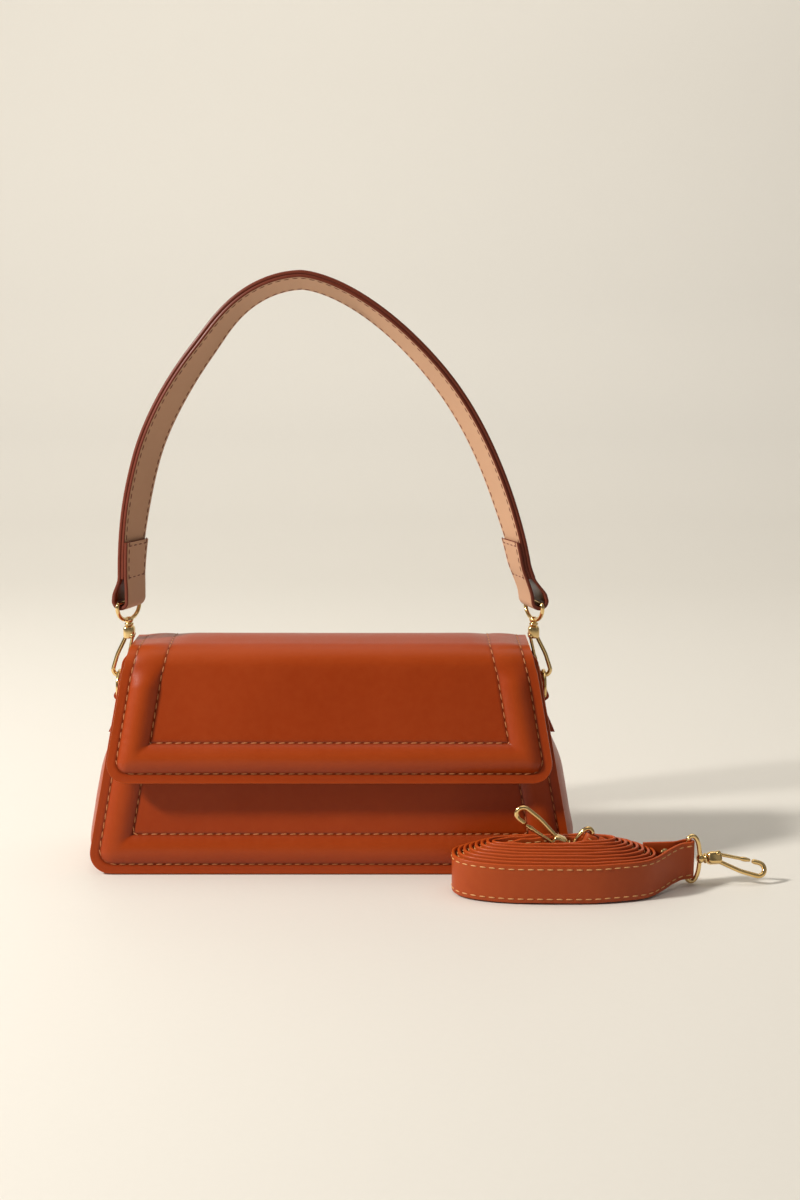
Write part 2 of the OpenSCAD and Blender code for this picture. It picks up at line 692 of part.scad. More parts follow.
// The handle's clasps; the left one is turned half round, so that its gate faces outward
module at_right() translate([eye_x, 0, 0]) children();
module at_left() translate([-eye_x, 0, 0]) children();

module hook_right() color(gold) at_right() hook();
module hook_left() color(gold) at_left() mirror([1, 0, 0]) hook();
module gate_right() color(gold) at_right() gate();
module gate_left() color(gold) at_left() mirror([1, 0, 0]) gate();
module gate_pin_right() color(gold) at_right() gate_pin();
module gate_pin_left() color(gold) at_left() mirror([1, 0, 0]) gate_pin();
module eye_right() color(gold) at_right() rotate([0, 0, twist_end]) eye(eye_half, eye_z);
module eye_left() color(gold) at_left() rotate([0, 0, -twist_end]) eye(eye_half, eye_z);

// Handle. A strap station is [middle, across, outward]; all three are points or directions in space
function strap_section(st, w, t) =
    let (c = st[0], a = st[1] * w / 2, o = st[2] * t / 2)
    [c - a - o * 0.75, c - a * 0.985 - o, c + a * 0.985 - o, c + a - o * 0.75,
     c + a + o * 0.75, c + a * 0.985 + o, c - a * 0.985 + o, c - a + o * 0.75];

function plain_section(st, w, t) =
    let (c = st[0], a = st[1] * w / 2, o = st[2] * t / 2)
    [c - a - o, c + a - o, c + a + o, c - a + o];

arch_n_left = 1.92;
arch_n_right = 1.6;
loop_z = eye_z + 1.5;
loop_r = 3;
arch_h = arch_z - handle_t / 2 - loop_z;
function arch_w(side) = eye_x + side * arch_off;
function arch_power(side) = side < 0 ? arch_n_left : arch_n_right;
function arch_pt(side, a) =
    [-arch_off + side * arch_w(side) * pow(sin(a), 2 / arch_power(side)), 0,
     loop_z + arch_h * pow(cos(a), 2 / arch_power(side))];
function arch_x(side, z) =
    -arch_off + side * arch_w(side)
        * pow(1 - pow(clamp01((z - loop_z) / arch_h), arch_power(side)), 1 / arch_power(side));

// Twisted frame at a place of the arch: the front edge stands outward
function twist_at(z) = mix(twist_end, twist_top, ease((z - loop_z - 10) / (arch_h * 0.9)));
function across_dir(nrm, tw) = [nrm[0] * sin(tw), -cos(tw), nrm[2] * sin(tw)];
function outward_dir(nrm, tw) = [nrm[0] * cos(tw), sin(tw), nrm[2] * cos(tw)];
function unit(v) = v / norm(v);

function arch_station(side, a, off) =
    let (p = arch_pt(side, a),
         ahead = arch_pt(side, min(90, a + 1.5)),
         behind = a < 1.5 ? arch_pt(-side, 1.5 - a) : arch_pt(side, a - 1.5),
         d = unit(ahead - behind) * side,
         nrm = [-d[2], 0, d[0]],
         tw = twist_at(p[2]))
    [p + off * outward_dir(nrm, tw), across_dir(nrm, tw), outward_dir(nrm, tw)];

function leg_station(side, z, off, flip) =
    let (nrm = [side, 0, 0], o = outward_dir(nrm, twist_end))
    [[arch_x(side, z), 0, z] + off * o, across_dir(nrm, twist_end), flip * o];

function loop_station(side, a) =
    let (nrm = [side, 0, 0], o = outward_dir(nrm, twist_end),
         out = o * cos(a) + [0, 0, sin(a)])
    [[side * eye_x, 0, loop_z] + (loop_r + handle_t / 2) * out, across_dir(nrm, twist_end), out];

arch_steps = 20;
arch_end_a = 83;
leg_zs = [0.455, 0.333, 0.212, 0.106] * fold_back;
tab_off = -(handle_lining_t + 2 * air + handle_t / 2);
function leg_off(z, rest) = mix(sign(rest) * (loop_r + handle_t / 2), rest, ease((z - 1) / 12));

function half_handle(side) = concat(
    [for (k = [1:arch_steps]) arch_station(side, arch_end_a * k / arch_steps, handle_t / 2)],
    [for (z = leg_zs) leg_station(side, loop_z + z, leg_off(z, handle_t / 2), 1)],
    [for (a = [0:-22.5:-180]) loop_station(side, a)],
    [for (k = [3:-1:0]) leg_station(side, loop_z + leg_zs[k], leg_off(leg_zs[k], tab_off), -1)],
    [for (z = [fold_back * 2 / 3, fold_back - 1.5]) leg_station(side, loop_z + z, tab_off, -1)]);

function reversed(v) = [for (i = [len(v) - 1:-1:0]) v[i]];

module handle_strap() color(leather_dark) {
    stations = concat(reversed(half_handle(-1)), [arch_station(1, 0, handle_t / 2)], half_handle(1));
    loft([for (st = stations) strap_section(st, strap_w, handle_t)]);
}

lining_low = leg_zs[1] + 1;
module handle_lining() color(tan) {
    off = -air - handle_lining_t / 2;
    half = function(side) concat(
        [for (k = [1:arch_steps]) arch_station(side, arch_end_a * k / arch_steps, off)],
        [for (z = [leg_zs[0], lining_low]) leg_station(side, loop_z + z, off, 1)]);
    stations = concat(reversed(half(-1)), [arch_station(1, 0, off)], half(1));
    loft([for (st = stations) strap_section(st, strap_w - 0.6, handle_lining_t)]);
}

// Long strap: a flattened spiral that narrows inward and rises in its inner turns
turn_in_x = 2.95;
turn_in_y = 1.85;
per_turn = 26;
spiral_power = 2 / 2.5;
rise_turns = 2.6;
tail_x = 190;
tail_y = -52;
// The tail rises off the floor so that its clasp's ring clears it
tail_lift = 3.7;
tail_z = strap_w / 2 + tail_lift;
long_loop_r = 1.9;
inner_tilt = 22;
function signed_pow(v, e) = sign(v) * pow(abs(v), e);
function spiral_pt(a) =
    let (ra = coil_a - long_t / 2 - turn_in_x * a / 360, rb = coil_b - long_t / 2 - turn_in_y * a / 360)
    [coil_x - ra * signed_pow(sin(a), spiral_power), -coil_y - rb * signed_pow(cos(a), spiral_power)];
function spiral_lift(a) =
    let (t = ease((a / 360 - turns + rise_turns) / rise_turns))
    coil_rise * t * mix(0.42, 1, (1 - cos(a)) / 2);

// A station whose travel direction is d; the strap's far side points to the right of its travel
function flat_station(p, d, z) = [[p[0], p[1], z], [0, 0, 1], [-d[1], d[0], 0]];

function spiral_station(a) =
    flat_station(spiral_pt(a), unit(spiral_pt(a + 1) - spiral_pt(a - 1)), strap_w / 2 + spiral_lift(a));

function bez(a, b, c, d, t) =
    pow(1 - t, 3) * a + 3 * t * pow(1 - t, 2) * b + 3 * t * t * (1 - t) * c + pow(t, 3) * d;

// The tail runs out to the right in a shallow curve and folds round the outer clasp's bar
long_mid_r = long_loop_r + long_t / 2;
fold_gap = long_t + air;
tail_a = -50;
tail_steps = 9;
tail_dir = unit([1, 0.1]);
tail_end = [tail_x - long_mid_r, tail_y];
tail_from = spiral_pt(tail_a);
tail_out = unit(spiral_pt(tail_a - 2) - spiral_pt(tail_a + 2));
function tail_pt(t) = bez(tail_from, tail_from + tail_out * 11, tail_end - tail_dir * 10, tail_end, t);
function tail_station(t) =
    flat_station(tail_pt(t), -unit(tail_pt(t + 0.01) - tail_pt(t - 0.01)), strap_w / 2 + tail_lift * ease(t));

// The inner end leaves the spiral, climbs a little and folds round the inner clasp's bar
inner_a = 360 * turns - 62;
inner_steps = 5;
inner_fold = 15;
inner_end = [coil_x + 15, -coil_y - 2.6];
inner_dir = [-1, 0];
inner_from = spiral_pt(inner_a);
inner_in = unit(spiral_pt(inner_a + 2) - spiral_pt(inner_a - 2));
inner_gap = norm(inner_end - inner_from);
function inner_pt(t) = bez(inner_from, inner_from + inner_in * inner_gap * 0.35,
                           inner_end - inner_dir * inner_gap * 0.35, inner_end, t);

// A fold round a bar: frame is [end of the straight, travel, across, toward the fold's far side]
function fold_stations(end, travel, across, far, length) =
    let (centre = end - far * long_mid_r)
    concat(
        [for (a = [20:20:180]) let (o = far * cos(a) + travel * sin(a)) [centre + o * long_mid_r, across, o]],
        [for (s = [4, 8, length]) let (gap = mix(2 * long_mid_r, fold_gap, ease(s / 8)))
            [end - far * gap - travel * s, across, -far]]);

inner_z = strap_w / 2 + coil_rise + inner_fold * sin(inner_tilt) / 2;
inner_travel = [inner_dir[0] * cos(inner_tilt), inner_dir[1] * cos(inner_tilt), sin(inner_tilt)];
inner_across = [-inner_dir[0] * sin(inner_tilt), -inner_dir[1] * sin(inner_tilt), cos(inner_tilt)];
inner_far = [-inner_dir[1], inner_dir[0], 0];
tail_travel = [tail_dir[0], tail_dir[1], 0];
tail_far = [tail_dir[1], -tail_dir[0], 0];

function long_stations() = concat(
    reversed(fold_stations([tail_end[0], tail_end[1], tail_z], tail_travel, [0, 0, 1], tail_far, 24)),
    [for (k = [tail_steps:-1:1]) tail_station(k / tail_steps)],
    [for (a = [tail_a:360 / per_turn:inner_a]) spiral_station(a)],
    [for (k = [1:inner_steps])
        let (t = k / inner_steps, p = inner_pt(t), d = unit(inner_pt(t + 0.01) - inner_pt(t - 0.01)),
             back = inner_end - p,
             z = mix(strap_w / 2 + spiral_lift(inner_a), inner_z, ease(t)))
        [[p[0], p[1], z], unit(mix([0, 0, 1], inner_across, ease(t))), [-d[1], d[0], 0]]],
    fold_stations([inner_end[0], inner_end[1], inner_z], inner_travel, inner_across, inner_far, inner_fold));

rivet_back = 13;
rivet_z = 14.5 + tail_lift;
rivet_r = 1.1;

module long_strap() color(leather) difference() {
    loft([for (st = long_stations()) plain_section(st, strap_w, long_t)]);
    at_rivet() translate([0, 0, -6]) cylinder(h = 12, r = rivet_r + run, $fn = 32);
}

// The rivet's axis runs through both layers of the tail's fold
module at_rivet() {
    translate([tail_end[0] - tail_dir[0] * rivet_back, tail_end[1] - tail_dir[1] * rivet_back, rivet_z])
        rotate([90, 0, atan2(tail_dir[1], tail_dir[0])])
            children();
}

module tail_rivet() color(gold) at_rivet() {
    face = long_t / 2 + 0.15;
    translate([0, 0, -face - fold_gap]) cylinder(h = 2 * face + fold_gap, r = rivet_r, $fn = 32);
    for (s = [0, 1])
        translate([0, 0, s ? face : -face - fold_gap]) mirror([0, 0, 1 - s])
            rotate_extrude($fn = 48) polygon(concat([[0, 0]], [for (a = [0:15:90]) [2.7 * cos(a), 1.1 * sin(a)]]));
}

// The long strap's clasps: the same clasp, larger, with a shorter and wider eye
strap_eye_half = 11.2;
strap_post = 6;
strap_eye_z = post_z + strap_post;
module clasp_frame(bar, travel, across) {
    x = cross(across, -travel);
    multmatrix([[x[0], across[0], -travel[0], bar[0]],
                [x[1], across[1], -travel[1], bar[1]],
                [x[2], across[2], -travel[2], bar[2]],
                [0, 0, 0, 1]])
        scale(strap_clasp_k) translate([0, 0, -strap_eye_z]) children();
}

tail_bar = [tail_end[0], tail_end[1], tail_z] - tail_far * long_mid_r;
inner_bar = [inner_end[0], inner_end[1], inner_z] - inner_far * long_mid_r;
module at_tail() clasp_frame(tail_bar, tail_travel, [0, 0, 1]) children();
module at_inner() clasp_frame(inner_bar, inner_travel, inner_across) children();
tail_turn = -62;
inner_turn = 90;

module eye_outer() color(gold) at_tail() eye(strap_eye_half, strap_eye_z);
module hook_outer() color(gold) at_tail() rotate([0, 0, tail_turn]) hook();
module gate_outer() color(gold) at_tail() rotate([0, 0, tail_turn]) gate();
module gate_pin_outer() color(gold) at_tail() rotate([0, 0, tail_turn]) gate_pin();
module eye_inner() color(gold) at_inner() eye(strap_eye_half, strap_eye_z);
module hook_inner() color(gold) at_inner() rotate([0, 0, inner_turn]) hook();
module gate_inner() color(gold) at_inner() rotate([0, 0, inner_turn]) gate();
module gate_pin_inner() color(gold) at_inner() rotate([0, 0, inner_turn]) gate_pin();

front_panel();
front_padding();
front_board();
back_panel();
back_padding();
back_board();
base_panel();
base_board();
gusset_left();
gusset_right();
lining();
snap_socket();
snap_washer();
tab_left();
tab_right();
flap();
flap_padding();
flap_board();
flap_lining();
snap_stud();
ring_left();
ring_right();
handle_strap();
handle_lining();
eye_left();
eye_right();
hook_left();
hook_right();
gate_left();
gate_right();
gate_pin_left();
gate_pin_right();
long_strap();
tail_rivet();
eye_outer();
hook_outer();
gate_outer();
gate_pin_outer();
eye_inner();
hook_inner();
gate_inner();
gate_pin_inner();
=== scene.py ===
import json
import math

import bmesh
import bpy
import numpy as np
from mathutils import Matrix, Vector, noise


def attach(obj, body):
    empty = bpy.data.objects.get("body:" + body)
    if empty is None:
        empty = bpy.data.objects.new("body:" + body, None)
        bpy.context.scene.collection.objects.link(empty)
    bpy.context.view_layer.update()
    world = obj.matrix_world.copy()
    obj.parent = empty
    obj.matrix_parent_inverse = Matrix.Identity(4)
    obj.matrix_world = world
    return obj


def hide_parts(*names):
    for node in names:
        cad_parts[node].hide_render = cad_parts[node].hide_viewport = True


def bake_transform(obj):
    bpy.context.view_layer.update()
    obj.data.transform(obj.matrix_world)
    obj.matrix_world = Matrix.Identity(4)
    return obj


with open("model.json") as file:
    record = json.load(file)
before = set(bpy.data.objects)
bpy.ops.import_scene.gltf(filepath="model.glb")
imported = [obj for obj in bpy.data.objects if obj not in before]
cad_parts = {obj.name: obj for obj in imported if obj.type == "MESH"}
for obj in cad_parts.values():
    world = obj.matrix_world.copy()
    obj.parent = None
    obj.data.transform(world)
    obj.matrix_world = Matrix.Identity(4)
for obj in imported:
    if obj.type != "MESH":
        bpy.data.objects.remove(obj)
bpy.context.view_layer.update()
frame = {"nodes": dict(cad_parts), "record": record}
record = frame["record"]
bodyOf = {n: b for b, nodes in record["behaviour"]["bodies"].items() for n in nodes}
slotOf = {s["node"]: s["material_slot"] for s in record["subparts"]}
scene = bpy.context.scene
print("stage: frame loaded,", len(bodyOf), "pieces")


# Shader helpers
class Val:
    def __init__(self, tree, socket):
        self.tree = tree
        self.socket = socket

    def math(self, op, other=None, flip=False):
        node = self.tree.nodes.new("ShaderNodeMath")
        node.operation = op
        pair = [self, other] if not flip else [other, self]
        for slotIndex, item in enumerate(pair):
            if item is None:
                continue
            if isinstance(item, Val):
                self.tree.links.new(item.socket, node.inputs[slotIndex])
            else:
                node.inputs[slotIndex].default_value = item
        return Val(self.tree, node.outputs[0])

    def __add__(self, other):
        return self.math("ADD", other)

    def __radd__(self, other):
        return self.math("ADD", other, True)

    def __sub__(self, other):
        return self.math("SUBTRACT", other)

    def __rsub__(self, other):
        return self.math("SUBTRACT", other, True)

    def __mul__(self, other):
        return self.math("MULTIPLY", other)

    def __rmul__(self, other):
        return self.math("MULTIPLY", other, True)

    def __truediv__(self, other):
        return self.math("DIVIDE", other)

    def __rtruediv__(self, other):
        return self.math("DIVIDE", other, True)

    def __pow__(self, other):
        return self.math("POWER", other)


class Shader:
    def __init__(self, name):
        self.material = bpy.data.materials.new(name)
        self.material.use_nodes = True
        self.tree = self.material.node_tree
        self.bsdf = self.tree.nodes["Principled BSDF"]
        self.place = self.node("ShaderNodeTexCoord", {}, {}, "Object")

    # One node, from its type, its settings and the values or links of its sockets
    def node(self, kind, settings, sockets, result=0):
        made = self.tree.nodes.new(kind)
        for name, value in settings.items():
            setattr(made, name, value)
        for name, value in sockets.items():
            self.fill(made.inputs[name], value)
        return Val(self.tree, made.outputs[result])

    def fill(self, socket, value):
        if isinstance(value, Val):
            self.tree.links.new(value.socket, socket)
        elif isinstance(value, tuple):
            socket.default_value = (*value, 1.0)
        else:
            socket.default_value = value

    def noise(self, scale, detail=2.0, rough=0.5):
        sockets = {"Scale": scale, "Detail": detail, "Roughness": rough, "Vector": self.place}
        return self.node("ShaderNodeTexNoise", {}, sockets)

    def cells(self, scale):
        sockets = {"Scale": scale, "Vector": self.place}
        return self.node("ShaderNodeTexVoronoi", {"feature": "F1"}, sockets, "Distance")

    def waves(self, scale, axis):
        sockets = {"Scale": scale, "Vector": self.place}
        return self.node("ShaderNodeTexWave", {"bands_direction": axis}, sockets, "Fac")

    def span(self, value, low, high, outLow=0.0, outHigh=1.0):
        sockets = {"From Min": low, "From Max": high, "To Min": outLow, "To Max": outHigh, "Value": value}
        return self.node("ShaderNodeMapRange", {}, sockets, "Result")

    # Sockets 6 and 7 of a Mix node are its colours, and its output 2 is the mixed colour
    def blend(self, factor, a, b):
        return self.node("ShaderNodeMix", {"data_type": "RGBA"}, {0: factor, 6: a, 7: b}, 2)

    def attribute(self, name):
        return self.node("ShaderNodeAttribute", {"attribute_name": name}, {}, "Fac")

    def feed(self, name, value):
        self.fill(self.bsdf.inputs[name], value)

    def bump(self, height, strength, distance):
        sockets = {"Strength": strength, "Distance": distance, "Height": height}
        self.feed("Normal", self.node("ShaderNodeBump", {}, sockets))


leatherLook = dict(main=(0.35, 0.042, 0.0025), dark=(0.29, 0.031, 0.0018), pale=(0.47, 0.082, 0.010),
                   gloss=0.35, grain=2600.0, coat=0.06)


def leather(name, main, dark, pale, gloss=0.34, grain=2600.0, coat=0.25, paintedSheen=0.6):
    s = Shader(name)
    broad = s.noise(14.0, 4.0, 0.55)
    fine = s.noise(240.0, 3.0, 0.6)
    pores = s.cells(grain)
    sheenAmount = s.attribute("paintedSheen")
    base = s.blend(s.span(broad, 0.25, 0.75, 0.25, 1.0), dark, main)
    base = s.blend(s.span(fine, 0.35, 0.8, 0.0, 0.12), base, pale)
    # Painted sheen: the leather turns towards its pale colour where the sheen attribute is high
    base = s.blend(sheenAmount * paintedSheen, base, pale)
    # Painted shade: darker along the stitch rows, where shade falls in their grooves
    base = s.blend(s.attribute("seam") * 0.6, base, tuple(c * 0.3 for c in dark))
    s.feed("Base Color", base)
    s.feed("Roughness", s.span(broad * 0.6 + fine * 0.4, 0.3, 0.7, gloss - 0.05, gloss + 0.09))
    s.feed("Coat Weight", coat)
    s.feed("Coat Roughness", 0.22)
    s.feed("Specular IOR Level", 0.24)
    wrinkle = s.noise(70.0, 3.0, 0.6)
    s.bump(pores * -0.35 + fine * 0.35 + wrinkle * 0.5, 0.22, 0.0004)
    return s.material


def fabric(name, colour, shade, threads):
    s = Shader(name)
    weave = s.waves(threads, "X") * s.waves(threads, "Z") + s.noise(900.0, 2.0) * 0.3
    s.feed("Base Color", s.blend(weave, shade, colour))
    s.feed("Roughness", 0.85)
    s.feed("Sheen Weight", 0.3)
    s.bump(weave, 0.5, 0.0002)
    return s.material


def metal(name, colour, shade):
    s = Shader(name)
    smear = s.noise(60.0, 3.0)
    scratch = s.noise(900.0, 2.0)
    s.feed("Base Color", s.blend(s.span(smear, 0.3, 0.7), shade, colour))
    s.feed("Metallic", 1.0)
    s.feed("Roughness", s.span(smear * 0.7 + scratch * 0.3, 0.35, 0.65, 0.12, 0.24))
    s.bump(scratch, 0.04, 0.0001)
    return s.material


def thread(name, colour, shade):
    s = Shader(name)
    twist = s.noise(2500.0, 2.0)
    s.feed("Base Color", s.blend(twist, shade, colour))
    s.feed("Roughness", 0.55)
    s.bump(twist, 0.4, 0.0001)
    return s.material


def plain(name, colour, shade, rough=0.8):
    s = Shader(name)
    spots = s.noise(300.0, 3.0)
    s.feed("Base Color", s.blend(spots, shade, colour))
    s.feed("Roughness", rough)
    s.bump(spots, 0.2, 0.0002)
    return s.material


mats = {
    "smooth_leather": leather("bagLeather", **leatherLook),
    "dark_leather": leather("handleLeather", (0.20, 0.024, 0.004), (0.13, 0.015, 0.003),
                            (0.30, 0.055, 0.010), gloss=0.36, coat=0.06),
    "strap_leather": leather("strapLeather", (0.40, 0.062, 0.009), (0.32, 0.045, 0.006),
                             (0.50, 0.11, 0.02), gloss=0.40, coat=0.04),
    "lining_leather": leather("handleLining", (0.56, 0.33, 0.20), (0.48, 0.27, 0.16),
                              (0.66, 0.44, 0.30), gloss=0.55, coat=0.0),
    "lining_cloth": fabric("bagLining", (0.36, 0.22, 0.13), (0.20, 0.12, 0.07), 700.0),
    "stiffener": plain("boardStock", (0.45, 0.38, 0.30), (0.38, 0.32, 0.25)),
    "foam": plain("foamFilling", (0.75, 0.72, 0.65), (0.66, 0.63, 0.56)),
    "gold_metal": metal("paleGold", (0.83, 0.60, 0.28), (0.74, 0.50, 0.20)),
}
edgeMat = leather("cutEdge", (0.46, 0.066, 0.006), (0.36, 0.045, 0.004), (0.55, 0.12, 0.02),
                  gloss=0.42, coat=0.1)
edgeDark = leather("cutEdgeDark", (0.17, 0.03, 0.013), (0.11, 0.02, 0.009), (0.28, 0.07, 0.03),
                   gloss=0.42, coat=0.1)
threadPale = thread("paleThread", (0.66, 0.25, 0.085), (0.36, 0.10, 0.03))
threadGold = thread("goldThread", (0.78, 0.42, 0.16), (0.55, 0.25, 0.08))
threadDark = thread("darkThread", (0.20, 0.05, 0.02), (0.12, 0.03, 0.015))
# Painted shade in the needle holes: near-black beads set half a pitch between the stitches
holeShadeMat = plain("needleHoleShade", (0.035, 0.010, 0.005), (0.02, 0.006, 0.003))
print("stage: materials")


# Mesh helpers
def addObject(name, mesh, materials):
    for m in materials:
        mesh.materials.append(m)
    obj = bpy.data.objects.new(name, mesh)
    scene.collection.objects.link(obj)
    return obj


def closeAndSmooth(mesh, sharp=50.0):
    bm = bmesh.new()
    bm.from_mesh(mesh)
    bmesh.ops.recalc_face_normals(bm, faces=bm.faces)
    bm.to_mesh(mesh)
    bm.free()
    mesh.shade_smooth()
    mesh.set_sharp_from_angle(angle=math.radians(sharp))


def setPoints(mesh, name, values):
    attr = mesh.attributes.new(name, "FLOAT", "POINT")
    attr.data.foreach_set("value", np.asarray(values, np.float32))


# A closed shell between two grids of points, with a rounded rim of its own material
def shellGrid(name, outer, inner, materials, bulge=0.3, rimSteps=4, paintedSheen=None, seam=None):
    outer = np.asarray(outer, float)
    inner = np.asarray(inner, float)
    m, n = outer.shape[:2]
    verts = [*outer.reshape(-1, 3), *inner.reshape(-1, 3)]
    shift = m * n
    faces, index = [], []
    for i in range(m - 1):
        for j in range(n - 1):
            a = i * n + j
            faces.append((a, a + 1, a + n + 1, a + n))
            faces.append((shift + a, shift + a + n, shift + a + n + 1, shift + a + 1))
            index += [0, 2 if len(materials) > 2 else 0]
    ring = ([(0, j) for j in range(n)] + [(i, n - 1) for i in range(1, m)]
            + [(m - 1, j) for j in range(n - 2, -1, -1)] + [(i, 0) for i in range(m - 2, 0, -1)])
    count = len(ring)
    loops = [[i * n + j for i, j in ring]]
    for step in range(1, rimSteps):
        t = step / rimSteps
        loop = []
        for i, j in ring:
            ii = min(max(i, 1), m - 2)
            jj = min(max(j, 1), n - 2)
            out = outer[i, j] - outer[ii, jj]
            thick = outer[i, j] - inner[i, j]
            size = np.linalg.norm(thick)
            thickDir = thick / size
            out = out - thickDir * out.dot(thickDir)
            out = out / max(np.linalg.norm(out), 1e-9)
            loop.append(len(verts))
            verts.append(outer[i, j] * (1 - t) + inner[i, j] * t + out * bulge * math.sin(math.pi * t))
        loops.append(loop)
    loops.append([shift + i * n + j for i, j in ring])
    for a, b in zip(loops, loops[1:]):
        for k in range(count):
            faces.append((a[k], b[k], b[(k + 1) % count], a[(k + 1) % count]))
            index.append(1)
    mesh = bpy.data.meshes.new(name)
    mesh.from_pydata([tuple(v * 0.001) for v in verts], [], faces)
    mesh.polygons.foreach_set("material_index", index)
    closeAndSmooth(mesh)
    for attribute, grid in (("paintedSheen", paintedSheen), ("seam", seam)):
        values = np.zeros(len(verts))
        if grid is not None:
            values[:shift] = np.asarray(grid).reshape(-1)
        setPoints(mesh, attribute, values)
    return addObject(name, mesh, materials)


# A tube of rings through section loops, closed at both ends
def sweep(name, sections, materials, edgeOf=None, sharp=50.0, lookAt=None):
    m, n = len(sections), len(sections[0])
    verts = [tuple(p * 0.001) for s in sections for p in s]
    faces = [tuple(range(n)), tuple((m - 1) * n + j for j in range(n))]
    index = [1 if len(materials) > 1 else 0] * 2
    for i in range(m - 1):
        for j in range(n):
            a, b = i * n + j, i * n + (j + 1) % n
            faces.append((a, b, b + n, a + n))
            index.append(lookAt(i, j) if lookAt else edgeOf[j] if edgeOf else 0)
    mesh = bpy.data.meshes.new(name)
    mesh.from_pydata(verts, [], faces)
    mesh.polygons.foreach_set("material_index", index)
    closeAndSmooth(mesh, sharp)
    return addObject(name, mesh, materials)


def cadCopy(node, sharp=35.0):
    source = frame["nodes"][node]
    mesh = source.data.copy()
    mesh.transform(source.matrix_world)
    mesh.materials.clear()
    mesh.shade_smooth()
    mesh.set_sharp_from_angle(angle=math.radians(sharp))
    return settle(addObject(node + "Look", mesh, [mats[slotOf[node]]]), node)


def settle(obj, *nodes, body=None, look=None):
    look or slotOf[nodes[0]]
    if nodes:
        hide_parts(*nodes)
    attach(obj, body or bodyOf[nodes[0]])
    return obj


def lerp(a, b, t):
    return a + (b - a) * t


def ease(t):
    t = min(1.0, max(0.0, t))
    return t * t * (3 - 2 * t)


def unit(v):
    return v / np.linalg.norm(v)


# Stitches: a node tree that sets a thread every pitch along lines with a "nrm" attribute
def stitchTree():
    tree = bpy.data.node_groups.new("stitchTree", "GeometryNodeTree")
    face = tree.interface
    face.new_socket("Geometry", in_out="INPUT", socket_type="NodeSocketGeometry")
    for number in ("Pitch", "Length", "Width", "Slant"):
        face.new_socket(number, in_out="INPUT", socket_type="NodeSocketFloat")
    for stuff in ("Thread", "HoleShade"):
        face.new_socket(stuff, in_out="INPUT", socket_type="NodeSocketMaterial")
    face.new_socket("Geometry", in_out="OUTPUT", socket_type="NodeSocketGeometry")
    add, link = tree.nodes.new, tree.links.new
    inp, out = add("NodeGroupInput"), add("NodeGroupOutput")
    curve = add("GeometryNodeMeshToCurve")
    link(inp.outputs["Geometry"], curve.inputs["Mesh"])
    even = add("GeometryNodeResampleCurve")
    even.mode = "LENGTH"
    link(curve.outputs[0], even.inputs["Curve"])
    link(inp.outputs["Pitch"], even.inputs["Length"])
    tangent = add("GeometryNodeInputTangent")
    normal = add("GeometryNodeInputNamedAttribute")
    normal.data_type = "FLOAT_VECTOR"
    normal.inputs["Name"].default_value = "nrm"
    first = add("FunctionNodeAlignRotationToVector")
    first.axis = "X"
    link(tangent.outputs[0], first.inputs["Vector"])
    second = add("FunctionNodeAlignRotationToVector")
    second.axis = "Z"
    second.pivot_axis = "X"
    link(first.outputs[0], second.inputs["Rotation"])
    link(normal.outputs["Attribute"], second.inputs["Vector"])
    turn = add("FunctionNodeRotateRotation")
    turn.rotation_space = "LOCAL"
    link(second.outputs[0], turn.inputs["Rotation"])
    slant = add("ShaderNodeCombineXYZ")
    link(inp.outputs["Slant"], slant.inputs["Z"])
    toRotation = add("FunctionNodeEulerToRotation")
    link(slant.outputs[0], toRotation.inputs[0])
    link(toRotation.outputs[0], turn.inputs["Rotate By"])

    def bead(lengthSocket, widthSocket, flat, material, offset):
        ball = add("GeometryNodeMeshUVSphere")
        ball.inputs["Segments"].default_value = 8
        ball.inputs["Rings"].default_value = 6
        ball.inputs["Radius"].default_value = 0.5
        size = add("ShaderNodeCombineXYZ")
        link(lengthSocket, size.inputs["X"])
        link(widthSocket, size.inputs["Y"])
        tall = add("ShaderNodeMath")
        tall.operation = "MULTIPLY"
        link(widthSocket, tall.inputs[0])
        tall.inputs[1].default_value = flat
        link(tall.outputs[0], size.inputs["Z"])
        put = add("GeometryNodeInstanceOnPoints")
        link(even.outputs[0], put.inputs["Points"])
        link(ball.outputs[0], put.inputs["Instance"])
        link(turn.outputs[0], put.inputs["Rotation"])
        link(size.outputs[0], put.inputs["Scale"])
        shift = add("GeometryNodeTranslateInstances")
        link(put.outputs[0], shift.inputs["Instances"])
        move = add("ShaderNodeCombineXYZ")
        half = add("ShaderNodeMath")
        half.operation = "MULTIPLY"
        link(inp.outputs["Pitch"], half.inputs[0])
        half.inputs[1].default_value = offset
        link(half.outputs[0], move.inputs["X"])
        link(move.outputs[0], shift.inputs["Translation"])
        real = add("GeometryNodeRealizeInstances")
        link(shift.outputs[0], real.inputs[0])
        paint = add("GeometryNodeSetMaterial")
        link(real.outputs[0], paint.inputs["Geometry"])
        link(inp.outputs[material], paint.inputs["Material"])
        smooth = add("GeometryNodeSetShadeSmooth")
        link(paint.outputs[0], smooth.inputs[0])
        return smooth.outputs[0]

    join = add("GeometryNodeJoinGeometry")
    # The near-black beads half a pitch along are painted shade in the needle holes
    link(bead(inp.outputs["Width"], inp.outputs["Width"], 0.55, "HoleShade", 0.5), join.inputs[0])
    link(bead(inp.outputs["Length"], inp.outputs["Width"], 0.8, "Thread", 0.0), join.inputs[0])
    link(join.outputs[0], out.inputs[0])
    return tree


stitches = stitchTree()
stitch = dict(pitch=4.9, length=3.7, width=0.72, slant=0.06)


